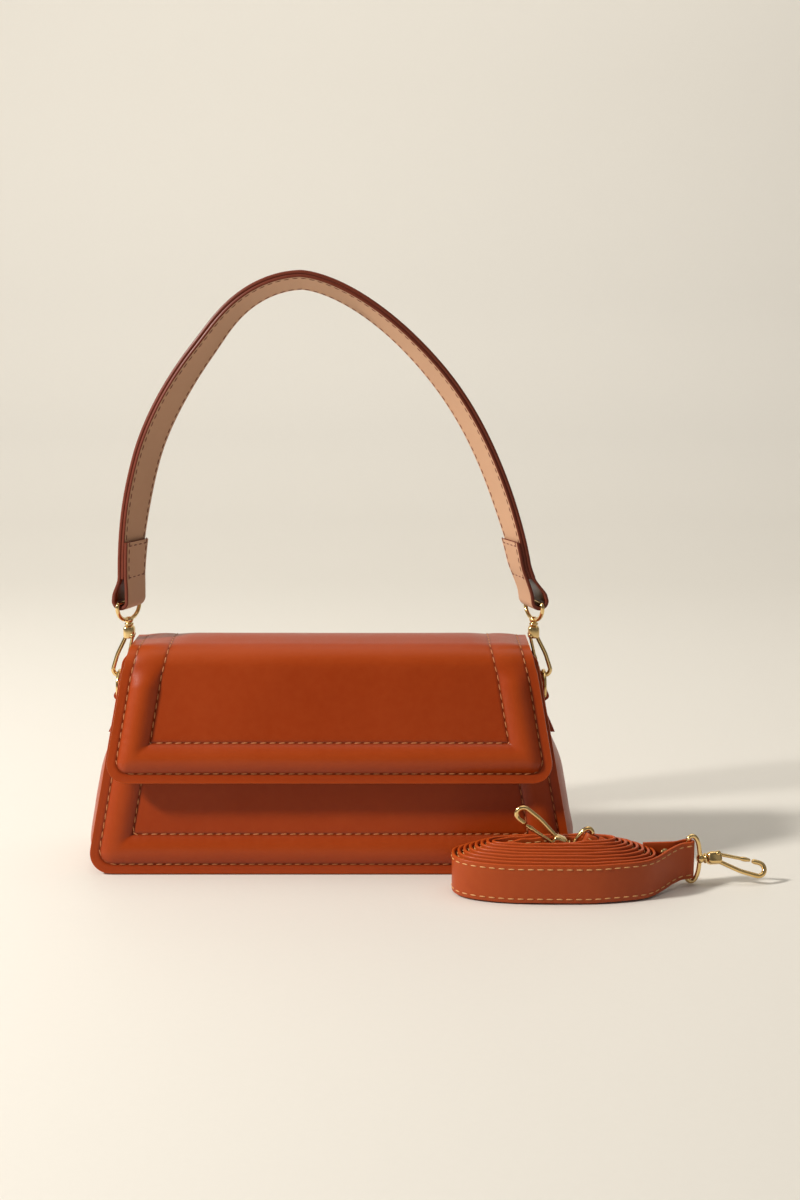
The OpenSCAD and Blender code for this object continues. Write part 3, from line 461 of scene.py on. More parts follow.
# lines is a list of [(point, normal), ...]; the result is one plain mesh
def sew(name, lines, threadMat, sizes=stitch):
    mesh = bpy.data.meshes.new(name + "Lines")
    points, normals, edges = [], [], []
    for line in lines:
        start = len(points)
        for p, nrm in line:
            points.append(tuple(np.asarray(p) * 0.001))
            normals += list(map(float, nrm))
        edges += [(start + k, start + k + 1) for k in range(len(line) - 1)]
    mesh.from_pydata(points, edges, [])
    attr = mesh.attributes.new("nrm", "FLOAT_VECTOR", "POINT")
    attr.data.foreach_set("vector", normals)
    guide = bpy.data.objects.new(name + "Guide", mesh)
    scene.collection.objects.link(guide)
    mod = guide.modifiers.new("stitches", "NODES")
    mod.node_group = stitches
    values = {"Pitch": sizes["pitch"] * 0.001, "Length": sizes["length"] * 0.001,
              "Width": sizes["width"] * 0.001, "Slant": sizes["slant"], "Thread": threadMat, "HoleShade": holeShadeMat}
    for item in stitches.interface.items_tree:
        if item.item_type == "SOCKET" and item.in_out == "INPUT" and item.name in values:
            mod[item.identifier] = values[item.name]
    bpy.context.view_layer.update()
    evaluated = guide.evaluated_get(bpy.context.evaluated_depsgraph_get())
    made = bpy.data.meshes.new_from_object(evaluated)
    made.name = name
    bpy.data.objects.remove(guide)
    obj = bpy.data.objects.new(name, made)
    scene.collection.objects.link(obj)
    return obj


# Body geometry, by the part's own rules; all sizes in millimetres
bag = dict(baseW=260.0, topW=218.4, height=117.0, baseD=70.0, topD=36.0, cornerR=13.0, capR=6.0,
           edgeLift=0.6, skinT=1.6, margin=5.0, padW=16.0, panelPad=2.8, backDrop=5.0, air=0.3)
leanDeg = math.degrees(math.atan((bag["baseD"] - bag["topD"]) / 2 / bag["height"]))
sinLean, cosLean = math.sin(math.radians(leanDeg)), math.cos(math.radians(leanDeg))


def halfWidth(z):
    return bag["baseW"] / 2 - (bag["baseW"] - bag["topW"]) / 2 * z / bag["height"]


def halfDepth(z):
    return bag["baseD"] / 2 - (bag["baseD"] - bag["topD"]) / 2 * z / bag["height"]


slopeLen = bag["height"] / cosLean - bag["edgeLift"]
backLen = slopeLen - bag["backDrop"] / cosLean


# Moves a place that is a and b in from two borders so that their corner is rounded by r
def roundPair(a, b, r):
    k = min(a, b)
    rk = r - k
    run = max(a, b) - k
    if rk <= 0.5 or run >= rk:
        return a, b
    t = math.radians(45 + 45 * run / rk)
    low, high = r - rk * math.sin(t), r - rk * math.cos(t)
    return (high, low) if a >= b else (low, high)


# The padded border's height, as a share, at d in from the edge
def arch(d):
    if d <= bag["margin"] or d >= bag["margin"] + bag["padW"]:
        return 0.0
    return math.sin(math.pi * (d - bag["margin"]) / bag["padW"]) ** 0.75


# Distances at which the fine grid has lines across a border
fineBands = [0, 0.5, 1.1, 2, 3.1, 4.1, 4.7, 5.0, 5.3, 5.9, 6.8, 8, 9.4, 11, 13, 15, 16.6, 18, 19.2,
             20.1, 20.7, 21, 21.3, 21.9, 23]
seamRows = (bag["margin"], bag["margin"] + bag["padW"])


# How near a distance is to one of the two seam rows, 1 on the row itself
def nearSeam(d, width):
    return sum(math.exp(-((d - row) / width) ** 2) for row in seamRows)


def groove(d):
    return nearSeam(d, 0.45)


def seamShade(d):
    return min(1.0, nearSeam(d, 0.75))


# The thread pulls the leather into small waves, one to a stitch, which fade into the padding
def pucker(d, along):
    first, last = seamRows
    fadeLength = 2.6
    inner = math.exp(-max(0.0, d - first) / fadeLength) * (d > first)
    outer = math.exp(-max(0.0, last - d) / fadeLength) * (first < d < last)
    return 0.11 * (inner + outer) * math.sin(along * 2 * math.pi / stitch["pitch"])


def softness(x, v, amount=0.28):
    p = Vector((x * 0.018, v * 0.018, 3.1))
    return amount * noise.noise(p) + amount * 0.35 * noise.noise(p * 3.1)


def panelToWorld(x, v, n, side=-1):
    w = v + bag["edgeLift"]
    y = bag["baseD"] / 2 - w * sinLean + n * cosLean
    return np.array([x, side * y, w * cosLean + n * sinLean])


def spread(low, high, step):
    count = max(2, int(round((high - low) / step)))
    return [lerp(low, high, k / count) for k in range(1, count)]


# Columns across a padded skin: the fine bands at both sides, even steps between them
def skinColumns(step):
    return ([(-1, d) for d in fineBands] + [(0, t) for t in spread(-1, 1, step)]
            + [(1, d) for d in reversed(fineBands)])


# Grids of outer places, inner places, painted sheen and painted seam shade, from a function that gives the four
# at one point
def skinGrids(rows, columns, pointAt):
    table = [[pointAt(row, kind, value) for kind, value in columns] for row in rows]
    return [[[point[k] for point in line] for line in table] for k in range(4)]


def panelHalf(v):
    return halfWidth((v + bag["edgeLift"]) * cosLean)


def panelGrids(highV, seed):
    wide = fineBands[-1]
    rows = fineBands + spread(wide, highV - wide, 1.7) + [highV - d for d in reversed(fineBands)]

    def pointAt(v, kind, value):
        low = v < highV - v
        near = min(v, highV - v)
        if kind:
            side, near2 = roundPair(value, near, bag["cornerR"] if low else bag["capR"])
            v = near2 if low else highV - near2
            x = kind * (panelHalf(v) - side)
            d = min(value, near)
            along = v if value < near else x
        else:
            x = value * (panelHalf(v) - wide)
            d, along = min(near, wide), x
        crest = bag["panelPad"] * arch(d) * lerp(1, 0.3, ease((v - highV + 40) / 30))
        soft = softness(x + seed, v, 0.3) * ease(d / 3)
        n = crest - 0.28 * groove(d) * ease(d) + soft + pucker(d, along)
        # Painted highlight: lighter on the padding's crest and along the cut edge
        sheenAmount = math.exp(-((d - 13) / 5) ** 2) * 0.35 + 0.5 * math.exp(-d / 0.9)
        under = -bag["skinT"] + crest * 0.9 - 0.1
        return panelToWorld(x, v, min(n, crest + 0.3)), panelToWorld(x, v, under), sheenAmount, seamShade(d)

    outer, inner, paintedSheen, seam = skinGrids(rows, skinColumns(2 * 1.7 / 210), pointAt)
    return np.array(outer), np.array(inner), paintedSheen, seam


# One seam down the left side, along the low edge and up the right side, d in from the border
def seamLine(d, halfAt, place, high, radius, step=1.5):
    r = max(radius - d, 0.0)
    pts = [(-(halfAt(v) - d), v) for v in np.arange(high, d + r, -step)]
    if r > 0.6:
        cx = halfAt(d + r) - d - r
        for a in np.linspace(0, 90, 10):
            pts.append((-(cx + r * math.cos(math.radians(a))), d + r - r * math.sin(math.radians(a))))
    else:
        pts.append((-(halfAt(d) - d), d))
        cx = halfAt(d) - d
    pts += [(x, d) for x in np.arange(-cx + step, 0, step)]
    pts += [(-x, v) for x, v in reversed(pts)]
    return [place(x, v) for x, v in pts]


for node, highV, mirror, seed in (("front_panel", slopeLen, 1, 0.0), ("back_panel", backLen, -1, 311.0)):
    outer, inner, paintedSheen, seam = panelGrids(highV, seed)
    outer[..., 1] *= mirror
    inner[..., 1] *= mirror
    skin = shellGrid(node + "Skin", outer, inner, [mats["smooth_leather"], edgeMat], paintedSheen=paintedSheen, seam=seam)
    settle(skin, node)
    normal = np.array([0, -cosLean * mirror, sinLean])

    def onPanel(x, v):
        p = panelToWorld(x, v, 0.02)
        return np.array([p[0], p[1] * mirror, p[2]]), normal

    lines = [seamLine(row, panelHalf, onPanel, highV - row, bag["cornerR"]) for row in seamRows]
    settle(sew(node + "Seams", lines, threadPale), body="bag", look="smooth_leather")
print("stage: panels")

# Gussets, finer than the part's, with soft folds where they pinch in
gusset = dict(swell=5.0, pinch=3.0, dip=8.0, flange=6.5, thick=1.4, topGap=1.2, back=0.4, fold=0.5)
sideTurn = math.degrees(math.atan((bag["baseW"] - bag["topW"]) / 2 / bag["height"]))
cornerZ = bag["edgeLift"] + bag["cornerR"]
sinSide, cosSide = math.sin(math.radians(sideTurn)), math.cos(math.radians(sideTurn))
cornerX = bag["baseW"] / 2 - (bag["cornerR"] + cornerZ * sinSide) / cosSide
gussetTop = bag["height"] - bag["backDrop"] - gusset["topGap"]
seamIn = bag["skinT"] + bag["air"]


def bulge(z):
    return lerp(gusset["swell"], -gusset["pinch"], ease((z - 48) / 44)) * ease((z - bag["edgeLift"]) / 16)


# s runs down the side (0 to 1) and round the base corner (1 to 2), t from front to back
def gussetPoint(s, t, across, inset):
    top = gussetTop - gusset["dip"] * (1 - t * t)
    low = cornerZ + bag["cornerR"] * sinSide
    if s <= 1:
        pz = lerp(top, low, s)
        px, ang = halfWidth(pz), math.radians(sideTurn)
    else:
        ang = math.radians(lerp(sideTurn, -90, s - 1))
        px, pz = cornerX + bag["cornerR"] * math.cos(ang), cornerZ + bag["cornerR"] * math.sin(ang)
    fold = gusset["fold"] * noise.noise(Vector((pz * 0.06, t * 2.2, 7.7))) * (1 - t * t) * across
    out = bulge(pz) * (1 - t * t) * across - gusset["back"] - inset + fold
    y = t * ((halfDepth(pz) - seamIn / cosLean) - (gusset["thick"] if inset > 0 and across > 0 else 0))
    return np.array([px + out * math.cos(ang), y, pz + out * math.sin(ang)])


def gussetRow(s, inset):
    ends = []
    for t in (-1, 1):
        p = gussetPoint(s, t, 0, gusset["flange"])
        p[1] -= t * inset
        ends.append(p)
    return [ends[0]] + [gussetPoint(s, t, 1, inset) for t in np.linspace(-1, 1, 33)] + [ends[1]]


steps = list(np.linspace(0, 1, 60)) + list(np.linspace(1, 2, 18))[1:]
for side, node in ((1, "gusset_right"), (-1, "gusset_left")):
    outer = np.array([gussetRow(s, 0.0) for s in steps])
    inner = np.array([gussetRow(s, gusset["thick"]) for s in steps])
    outer[..., 0] *= side
    inner[..., 0] *= side
    settle(shellGrid(node + "Skin", outer, inner, [mats["smooth_leather"], edgeMat], bulge=0.2), node)
print("stage: gussets")

# Flap
flap = dict(lowZ=51.0, width=237.0, turnW=217.0, foldW=211.0, cornerR=12.0, pad=3.6, over=0.8,
            foldFront=9.0, foldBack=5.0, splay=3.7, stand=4.6, core=1.9, thick=3.1, rim=2.2,
            dome=2.6, domeHalf=72.0, domeFade=24.0)
flapInZ = bag["height"] + flap["over"]
leanF = math.radians(leanDeg + flap["splay"])
rf, rb = flap["foldFront"], flap["foldBack"]
frontZ = flapInZ - rf
frontY = (-(bag["topD"] / 2 + flap["stand"]) - (bag["height"] - frontZ) * math.tan(leanF)
          + rf * math.cos(leanF) + rf * math.sin(leanF) * math.tan(leanF))
backZ = flapInZ - rb
hingeZ = bag["height"] - bag["backDrop"] + bag["air"] / 2
hingeY = halfDepth(hingeZ)
backY = halfDepth(backZ + rb * sinLean) - flap["thick"] / cosLean - rb * cosLean
frontLen = (frontZ + rf * math.sin(leanF) - flap["lowZ"]) / math.cos(leanF)
frontArc = rf * (math.pi / 2 - leanF)
topLen = backY - frontY
backArc = rb * math.radians(90 - leanDeg)
backRun = (backZ + rb * sinLean - hingeZ - bag["air"] / 2) / cosLean
flapLen = frontLen + frontArc + topLen + backArc + backRun
lowY = frontY - rf * math.cos(leanF) - frontLen * math.sin(leanF)


# The flap's inner side at q along it from its low edge: y, z and the direction that faces out
def flapAt(q):
    if q <= frontLen:
        return (lowY + q * math.sin(leanF), flap["lowZ"] + q * math.cos(leanF),
                -math.cos(leanF), math.sin(leanF))
    if q <= frontLen + frontArc:
        a = leanF + (q - frontLen) / rf
        return (frontY - rf * math.cos(a), frontZ + rf * math.sin(a), -math.cos(a), math.sin(a))
    if q <= frontLen + frontArc + topLen:
        return (frontY + q - frontLen - frontArc, flapInZ, 0.0, 1.0)
    if q <= frontLen + frontArc + topLen + backArc:
        a = math.pi / 2 - (q - frontLen - frontArc - topLen) / rb
        return (backY + rb * math.cos(a), backZ + rb * math.sin(a), math.cos(a), math.sin(a))
    e = q - frontLen - frontArc - topLen - backArc
    return (backY + rb * cosLean + e * sinLean, backZ + rb * sinLean - e * cosLean, cosLean, sinLean)


def flapHalf(q):
    start = frontLen - 5
    drawn = ease((q - start) / (frontLen + frontArc - start))
    width = lerp(flap["width"], flap["turnW"], min(1, q / frontLen))
    return (width - (flap["turnW"] - flap["foldW"]) * drawn) / 2


def flapSwell(q):
    return lerp(1, 0.22, ease((q - frontLen + 12) / 14))


# The soft top is a little domed between its two folds
def crown(x, q):
    start, end = frontLen + frontArc * 0.15, frontLen + frontArc + topLen + backArc * 0.9
    t = min(1.0, max(0.0, (q - start) / (end - start)))
    sides = 1 - ease((abs(x) - flap["domeHalf"]) / flap["domeFade"])
    return flap["dome"] * sides * math.sin(math.pi * t ** 1.25) ** 1.3


def flapMap(x, q, n):
    f = flapAt(q)
    n += crown(x, q)
    return np.array([x, f[0] + n * f[2], f[1] + n * f[3]])


def flapPoint(q, kind, value):
    low, wide = q, fineBands[-1]
    if kind:
        side, q = roundPair(value, low, flap["cornerR"])
        x = kind * (flapHalf(q) - side)
        d = min(value, low)
        along = q if value < low else x
    else:
        x = value * (flapHalf(q) - wide)
        d, along = min(low, wide), x
    swell = flapSwell(q)
    crest = flap["pad"] * arch(d) * swell
    over = ease((q - frontLen + 4) / 10)
    soft = softness(x, q + 90, 0.34) * ease(d / 3) * (1 - 0.5 * over)
    n = flap["thick"] + crest - 0.3 * groove(d) * ease(d) * swell + soft + pucker(d, along) * swell
    foot = 0.0 if d <= flap["rim"] else flap["core"]
    # Painted sheen across the front fold, and painted highlight on the padding's crest and along the cut edge
    foldSheen = math.exp(-((q - frontLen - frontArc * 0.5) / 5) ** 2) * 0.5
    sheenAmount = math.exp(-((d - 13) / 5) ** 2) * 0.4 * swell + 0.5 * math.exp(-d / 0.9) + foldSheen
    return flapMap(x, q, n), flapMap(x, q, foot + crest * 0.9), sheenAmount, seamShade(d)


flapRows = fineBands + spread(fineBands[-1], frontLen, 1.5) + list(np.linspace(frontLen, flapLen - 0.3, 62))
outer, inner, paintedSheen, seam = skinGrids(flapRows, skinColumns(2 * 1.6 / 200), flapPoint)
hingePoint = (0.0, hingeY * 0.001, hingeZ * 0.001)
# A point just in front of and above the hinge
blendEnd = (0.0, hingePoint[1] - 0.0017, hingePoint[2] + 0.001)


def bendWithFlap(obj, look, *nodes):
    if nodes:
        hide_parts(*nodes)
    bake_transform(obj)
    return obj


flapSkin = shellGrid("flapSkin", outer, inner, [mats["smooth_leather"], edgeMat], paintedSheen=paintedSheen, seam=seam)
bendWithFlap(flapSkin, "smooth_leather", "flap")


def onFlap(x, q):
    f = flapAt(q)
    return flapMap(x, q, flap["thick"] + 0.02), np.array([0, f[2], f[3]])


lines = [seamLine(row, flapHalf, onFlap, flapLen - 2, flap["cornerR"]) for row in seamRows]
bendWithFlap(sew("flapSeams", lines, threadPale), "smooth_leather")
print("stage: flap")

# Handle
handle = dict(width=20.0, thick=2.0, liningT=1.3, archZ=312.0, off=13.5, eyeX=109.0, eyeZ=141.5,
              twistLeft=(20.0, 31.0), twistRight=(17.0, 25.0), twistTop=20.0, foldBack=33.0,
              powerLeft=1.92, powerRight=1.6, loopR=3.0, air=0.3, archSteps=90)
handleStitch = dict(pitch=4.4, length=3.2, width=0.7, slant=0.0)
loopZ = handle["eyeZ"] + 1.5
archH = handle["archZ"] - handle["thick"] / 2 - loopZ


def archPower(side):
    return handle["powerLeft"] if side < 0 else handle["powerRight"]


def archPoint(side, a):
    w = handle["eyeX"] + side * handle["off"]
    p = 2 / archPower(side)
    rise = archH * max(0.0, math.cos(a)) ** p
    return np.array([-handle["off"] + side * w * math.sin(a) ** p, 0.0, loopZ + rise])


def archX(side, z):
    n = archPower(side)
    u = min(1.0, max(0.0, (z - loopZ) / archH))
    return -handle["off"] + side * (handle["eyeX"] + side * handle["off"]) * (1 - u ** n) ** (1 / n)


def twistAt(side, z):
    low, mid = handle["twistLeft"] if side < 0 else handle["twistRight"]
    t = (z - loopZ) / archH
    turn = lerp(low, mid, ease(t / 0.35)) if t < 0.6 else lerp(mid, handle["twistTop"], ease((t - 0.6) / 0.4))
    return math.radians(turn)


# How far the soft handle leans off the plain arch, in x
def sway(side, z):
    t = (z - loopZ) / archH
    if side > 0:
        return -0.2 - ease(t / 0.07) - 3.8 * ease(t / 0.12) * ease((0.72 - t) / 0.5)
    return (0.2 + 0.8 * ease(t / 0.07)) * (1 - t) + 4.2 * ease((t - 0.45) / 0.4) * ease((1 - t) / 0.22)


# The strap's two directions, across and outward, after a twist about the upright
def twisted(nrm, tw):
    return (np.array([nrm[0] * math.sin(tw), -math.cos(tw), nrm[2] * math.sin(tw)]),
            np.array([nrm[0] * math.cos(tw), math.sin(tw), nrm[2] * math.cos(tw)]))


def archStation(side, a, off):
    p = archPoint(side, a)
    step = math.radians(1.5)
    ahead = archPoint(side, min(math.pi / 2, a + step))
    behind = archPoint(-side, step - a) if a < step else archPoint(side, a - step)
    d = unit(ahead - behind) * side
    across, out = twisted(np.array([-d[2], 0, d[0]]), twistAt(side, p[2]))
    return p + off * out + np.array([sway(side, p[2]), 0, 0]), across, out


# Stations of the strap: its middle, the direction across it and the direction that faces out
def legStation(side, z, off, flip):
    across, out = twisted(np.array([side, 0, 0]), twistAt(side, z))
    return np.array([archX(side, z) + sway(side, z), 0, z]) + off * out, across, flip * out


def loopStation(side, a):
    across, o = twisted(np.array([side, 0, 0]), twistAt(side, loopZ))
    out = o * math.cos(a) + np.array([0, 0, math.sin(a)])
    centre = np.array([side * handle["eyeX"] + sway(side, loopZ), 0, loopZ])
    return centre + (handle["loopR"] + handle["thick"] / 2) * out, across, out


legZs = [15, 13, 11, 9, 7, 5.2, 3.5]
tabZs = [17, 20, 23, 26, 29, handle["foldBack"] - 1.5]
tabOff = -(handle["liningT"] + 2 * handle["air"] + handle["thick"] / 2)
archEnd = math.radians(83)


def legOff(z, rest):
    return lerp(math.copysign(handle["loopR"] + handle["thick"] / 2, rest), rest, ease((z - 1) / 12))


def halfHandle(side):
    rest = handle["thick"] / 2
    steps = handle["archSteps"]
    return ([archStation(side, archEnd * k / steps, rest) for k in range(1, steps + 1)]
            + [legStation(side, loopZ + z, legOff(z, rest), 1) for z in legZs]
            + [loopStation(side, math.radians(a)) for a in range(0, -181, -12)]
            + [legStation(side, loopZ + z, legOff(z, tabOff), -1) for z in reversed(legZs)]
            + [legStation(side, loopZ + z, tabOff, -1) for z in tabZs])


# A strap's section with softly rounded edges and a slight crown
def strapSection(station, w, t, crown=0.12):
    c, across, out = station
    flat = w / 2 - t * 0.28

    def edge(side, degrees):
        a = math.radians(degrees)
        return side * flat + side * (t * 0.30 * math.cos(a)), t / 2 * math.sin(a) * 1.05

    points = [(s * flat, t / 2 + crown * (1 - s * s)) for s in np.linspace(-1, 1, 11)]
    points += [edge(1, a) for a in (55, 20, -20, -55)]
    points += [(s * flat, -t / 2) for s in np.linspace(1, -1, 11)]
    points += [edge(-1, a) for a in (-55, -20, 20, 55)]
    return [c + across * p + out * q for p, q in points]


# For each face round a section: 1 where it is the cut edge, 0 on the two flat sides
sectionEdges = [0] * 10 + [1] * 5 + [0] * 10 + [1] * 5
stations = halfHandle(-1)[::-1] + [archStation(1, 0, handle["thick"] / 2)] + halfHandle(1)
middle = len(stations) // 2
foldedFrom = 104


# The folded ends show the strap's pale lining on their outer face
def handleLook(i, j):
    folded = abs(i + 0.5 - middle) > foldedFrom
    return 2 if folded and j < 10 else sectionEdges[j]


strapObj = sweep("handleStrap", [strapSection(s, handle["width"], handle["thick"]) for s in stations],
                 [mats["dark_leather"], edgeDark, mats["lining_leather"]], sectionEdges, lookAt=handleLook)
settle(strapObj, "handle_strap")


def archLine(off):
    steps = handle["archSteps"]

    def half(side):
        return ([archStation(side, archEnd * k / steps, off) for k in range(1, steps + 1)]
                + [legStation(side, loopZ + z, off, 1) for z in (15, 12)])

    return half(-1)[::-1] + [archStation(1, 0, off)] + half(1)


liningOff = -handle["air"] - handle["liningT"] / 2
liningSections = [strapSection(s, handle["width"] - 0.5, handle["liningT"] + 0.5, 0.0)
                  for s in archLine(liningOff)]
settle(sweep("handleLiningStrip", liningSections, [mats["lining_leather"], edgeDark], sectionEdges),
       "handle_lining")


def offsetLine(line, across, out, flip=1):
    return [(c + a * across + o * out, o * flip) for c, a, o in line]


edgeIn = handle["width"] / 2 - 2.1
lines = []
for s in (-1, 1):
    lines.append(offsetLine(archLine(0.0), s * edgeIn, handle["thick"] + 0.06))
    lines.append(offsetLine(archLine(0.0), s * edgeIn, -handle["air"] - handle["liningT"] - 0.28, -1))
for side in (-1, 1):
    tabLine = [legStation(side, loopZ + z, tabOff, 1) for z in (13, 17, 21, 25, 29, 31)]
    for s in (-1, 1):
        lines.append(offsetLine(tabLine, s * edgeIn, -handle["thick"] / 2 - 0.06, -1))
    for z in (11.5, 28.5):
        c, a, o = legStation(side, loopZ + z + 1, tabOff if z > 20 else legOff(z + 1, tabOff), 1)
        c = c - o * (handle["thick"] / 2 + 0.06)
        lines.append([(c + a * s, -o) for s in np.linspace(-edgeIn + 1, edgeIn - 1, 6)])
settle(sew("handleSeams", lines, threadDark, handleStitch), body="handle", look="dark_leather")
print("stage: handle")

# Long strap
coil = dict(turns=9, a=54.0, b=21.5, thick=1.5, rise=8.0, x=117.0, y=58.8, inX=2.95, inY=1.82, power=0.8,
            tailX=190.0, tailY=-52.0, tailLift=3.7, leaves=50, loopR=1.9, tilt=22.0, riseTurns=2.6, climb=9.2,
            hookRoom=1.5, innerBack=62)
stripW = 20.0
strapStitch = dict(pitch=4.9, length=3.5, width=0.68, slant=0.0)


def spiralPoint(a):
    ra = coil["a"] - coil["thick"] / 2 - coil["inX"] * a / 360
    rb = coil["b"] - coil["thick"] / 2 - coil["inY"] * a / 360
    s, c = math.sin(math.radians(a)), math.cos(math.radians(a))
    return np.array([coil["x"] - ra * math.copysign(abs(s) ** coil["power"], s),
                     -coil["y"] - rb * math.copysign(abs(c) ** coil["power"], c)])


# The turns climb towards the middle, then the last one sinks to the folded end
def spiralLift(a):
    turn = max(0.0, a / 360)
    t = ease((turn - coil["turns"] + coil["riseTurns"]) / coil["riseTurns"])
    end = coil["rise"] * t * lerp(0.42, 1, (1 - math.cos(math.radians(a))) / 2)
    underHook = coil["hookRoom"] * ease((turn - 6.8) / 0.5) * math.exp(-((turn % 1 - 0.33) / 0.14) ** 2)
    return lerp(coil["climb"] * (turn / coil["turns"]) ** 0.9, end, ease((turn - 7.9) / 0.4)) - underHook


def flatStation(p, d, z):
    return np.array([p[0], p[1], z]), np.array([0, 0, 1.0]), np.array([-d[1], d[0], 0])


def bez(a, b, c, d, t):
    return (1 - t) ** 3 * a + 3 * t * (1 - t) ** 2 * b + 3 * t * t * (1 - t) * c + t ** 3 * d


midR = coil["loopR"] + coil["thick"] / 2
foldGap = coil["thick"] + bag["air"]
tailDir = unit(np.array([1, 0.1]))
tailEnd = np.array([coil["tailX"] - midR, coil["tailY"]])
leaveA = -coil["leaves"]
tailFrom = spiralPoint(leaveA)
tailOut = unit(spiralPoint(leaveA - 2) - spiralPoint(leaveA + 2))


def tailPoint(t):
    return bez(tailFrom, tailFrom + tailOut * 11, tailEnd - tailDir * 10, tailEnd, t)


innerA = 360 * coil["turns"] - coil["innerBack"]
innerEnd = np.array([coil["x"] + 15, -coil["y"] - 2.6])
innerDir = np.array([-1.0, 0])
innerFrom = spiralPoint(innerA)
innerIn = unit(spiralPoint(innerA + 2) - spiralPoint(innerA - 2))
innerSpan = np.linalg.norm(innerEnd - innerFrom)


def innerPoint(t):
    pull = innerSpan * 0.35
    return bez(innerFrom, innerFrom + innerIn * pull, innerEnd - innerDir * pull, innerEnd, t)


# The strip's fold round a clasp's bar, from the strip's end to the end of its short second layer
def foldStations(end, travel, across, far, length):
    centre = end - far * midR
    made = []
    for a in range(10, 181, 10):
        o = far * math.cos(math.radians(a)) + travel * math.sin(math.radians(a))
        made.append((centre + o * midR, across, o))
    for s in (2, 4, 6, 8, 11, length):
        gap = lerp(2 * midR, foldGap, ease(s / 8))
        made.append((end - far * gap - travel * s, across, -far))
    return made


tiltC, tiltS = math.cos(math.radians(coil["tilt"])), math.sin(math.radians(coil["tilt"]))
innerZ = stripW / 2 + coil["rise"] + 15 * tiltS / 2
innerTravel = np.array([-tiltC, 0, tiltS])
innerAcross = np.array([tiltS, 0, tiltC])
innerFar = np.array([0, -1.0, 0])
tailTravel = np.array([*tailDir, 0])
tailFar = np.array([tailDir[1], -tailDir[0], 0])
up = np.array([0, 0, 1.0])
mainRun = []
for k in range(24, 0, -1):
    t = k / 24
    d = -unit(tailPoint(t + 0.01) - tailPoint(t - 0.01))
    mainRun.append(flatStation(tailPoint(t), d, stripW / 2 + coil["tailLift"] * ease(t)))
for a in np.arange(leaveA, innerA, 360 / 84):
    d = unit(spiralPoint(a + 1) - spiralPoint(a - 1))
    mainRun.append(flatStation(spiralPoint(a), d, stripW / 2 + spiralLift(a)))
for k in range(1, 13):
    t = k / 12
    d = unit(innerPoint(t + 0.01) - innerPoint(t - 0.01))
    z = lerp(stripW / 2 + spiralLift(innerA), innerZ, ease(t))
    across = unit(lerp(up, innerAcross, ease(t)))
    mainRun.append((np.array([*innerPoint(t), z]), across, np.array([-d[1], d[0], 0])))
tailFold = foldStations(np.array([*tailEnd, stripW / 2 + coil["tailLift"]]), tailTravel, up, tailFar, 24)
innerFold = foldStations(np.array([*innerEnd, innerZ]), innerTravel, innerAcross, innerFar, 15)


# The lie of the turns: each turn stands a little higher or lower than its neighbour
def uneven(station):
    c, across, out = station
    inCoil = ease((172 - c[0]) / 14) if c[1] < 0 else 1
    radius = math.hypot((c[0] - coil["x"]) / coil["a"], (c[1] + coil["y"]) / coil["b"])
    lift = 0.55 * inCoil * (noise.noise(Vector((radius * 17, c[0] * 0.012, 2.0))) + 0.8)
    return c + np.array([0, 0, lift]), across, out


# The tail leaves the outer turn without a kink
def relaxed(stations, low, high, rounds):
    places = [s[0].copy() for s in stations]
    for _ in range(rounds):
        places = [(places[i - 1] + 2 * p + places[i + 1]) / 4 if low < i < high else p
                  for i, p in enumerate(places)]
    made = []
    for i, (c, across, out) in enumerate(stations):
        if low < i < high:
            d = unit(places[i + 1] - places[i - 1])
            out = np.array([-d[1], d[0], 0.0])
        made.append((places[i], across, out))
    return made


mainRun = relaxed(mainRun, 4, 31, 10)
run = [uneven(s) for s in tailFold[::-1] + mainRun + innerFold]
mainRun = [uneven(s) for s in mainRun]
strapLength = sum(np.linalg.norm(b[0] - a[0]) for a, b in zip(run, run[1:]))
coilObj = sweep("longStrapCoil", [strapSection(s, stripW, coil["thick"], 0.03) for s in run],
                [mats["strap_leather"], edgeMat], sectionEdges)
settle(coilObj, "long_strap")
edgeIn = stripW / 2 - 2.2
lines = []
for s in (-1, 1):
    lines.append(offsetLine(mainRun, s * edgeIn, coil["thick"] / 2 + 0.08))
    lines.append(offsetLine(mainRun, s * edgeIn, -coil["thick"] / 2 - 0.04, -1))
settle(sew("longStrapSeams", lines, threadGold, strapStitch), body="strap", look="strap_leather")
print("stage: long strap, length", round(strapLength), "mm")

# Clasps: smooth wires, a turned knob and a rounded block, all drawn upright in the clasp's own frame
clasp = dict(wire=1.1, gate=0.85, postZ=131.5, pivotX=-1.9, pivotZ=123.1, lean=17.0, eyeHalf=11.0,
             strapEyeHalf=11.2, bendR=3.15, scale=1.1, tailTurn=-62.0, innerTurn=90.0, eyeTurn=3.0)


def catmull(points, per=6):
    pts = [2 * points[0] - points[1], *points, 2 * points[-1] - points[-2]]
    out = []
    for a, b, c, d in zip(pts, pts[1:], pts[2:], pts[3:]):
        for k in range(per):
            t = k / per
            out.append(0.5 * (2 * b + (c - a) * t + (2 * a - 5 * b + 4 * c - d) * t ** 2
                              + (3 * b - a - 3 * c + d) * t ** 3))
    return out + [points[-1]]


def around(sides):
    return np.linspace(0, 2 * math.pi, sides + 1)[:-1]


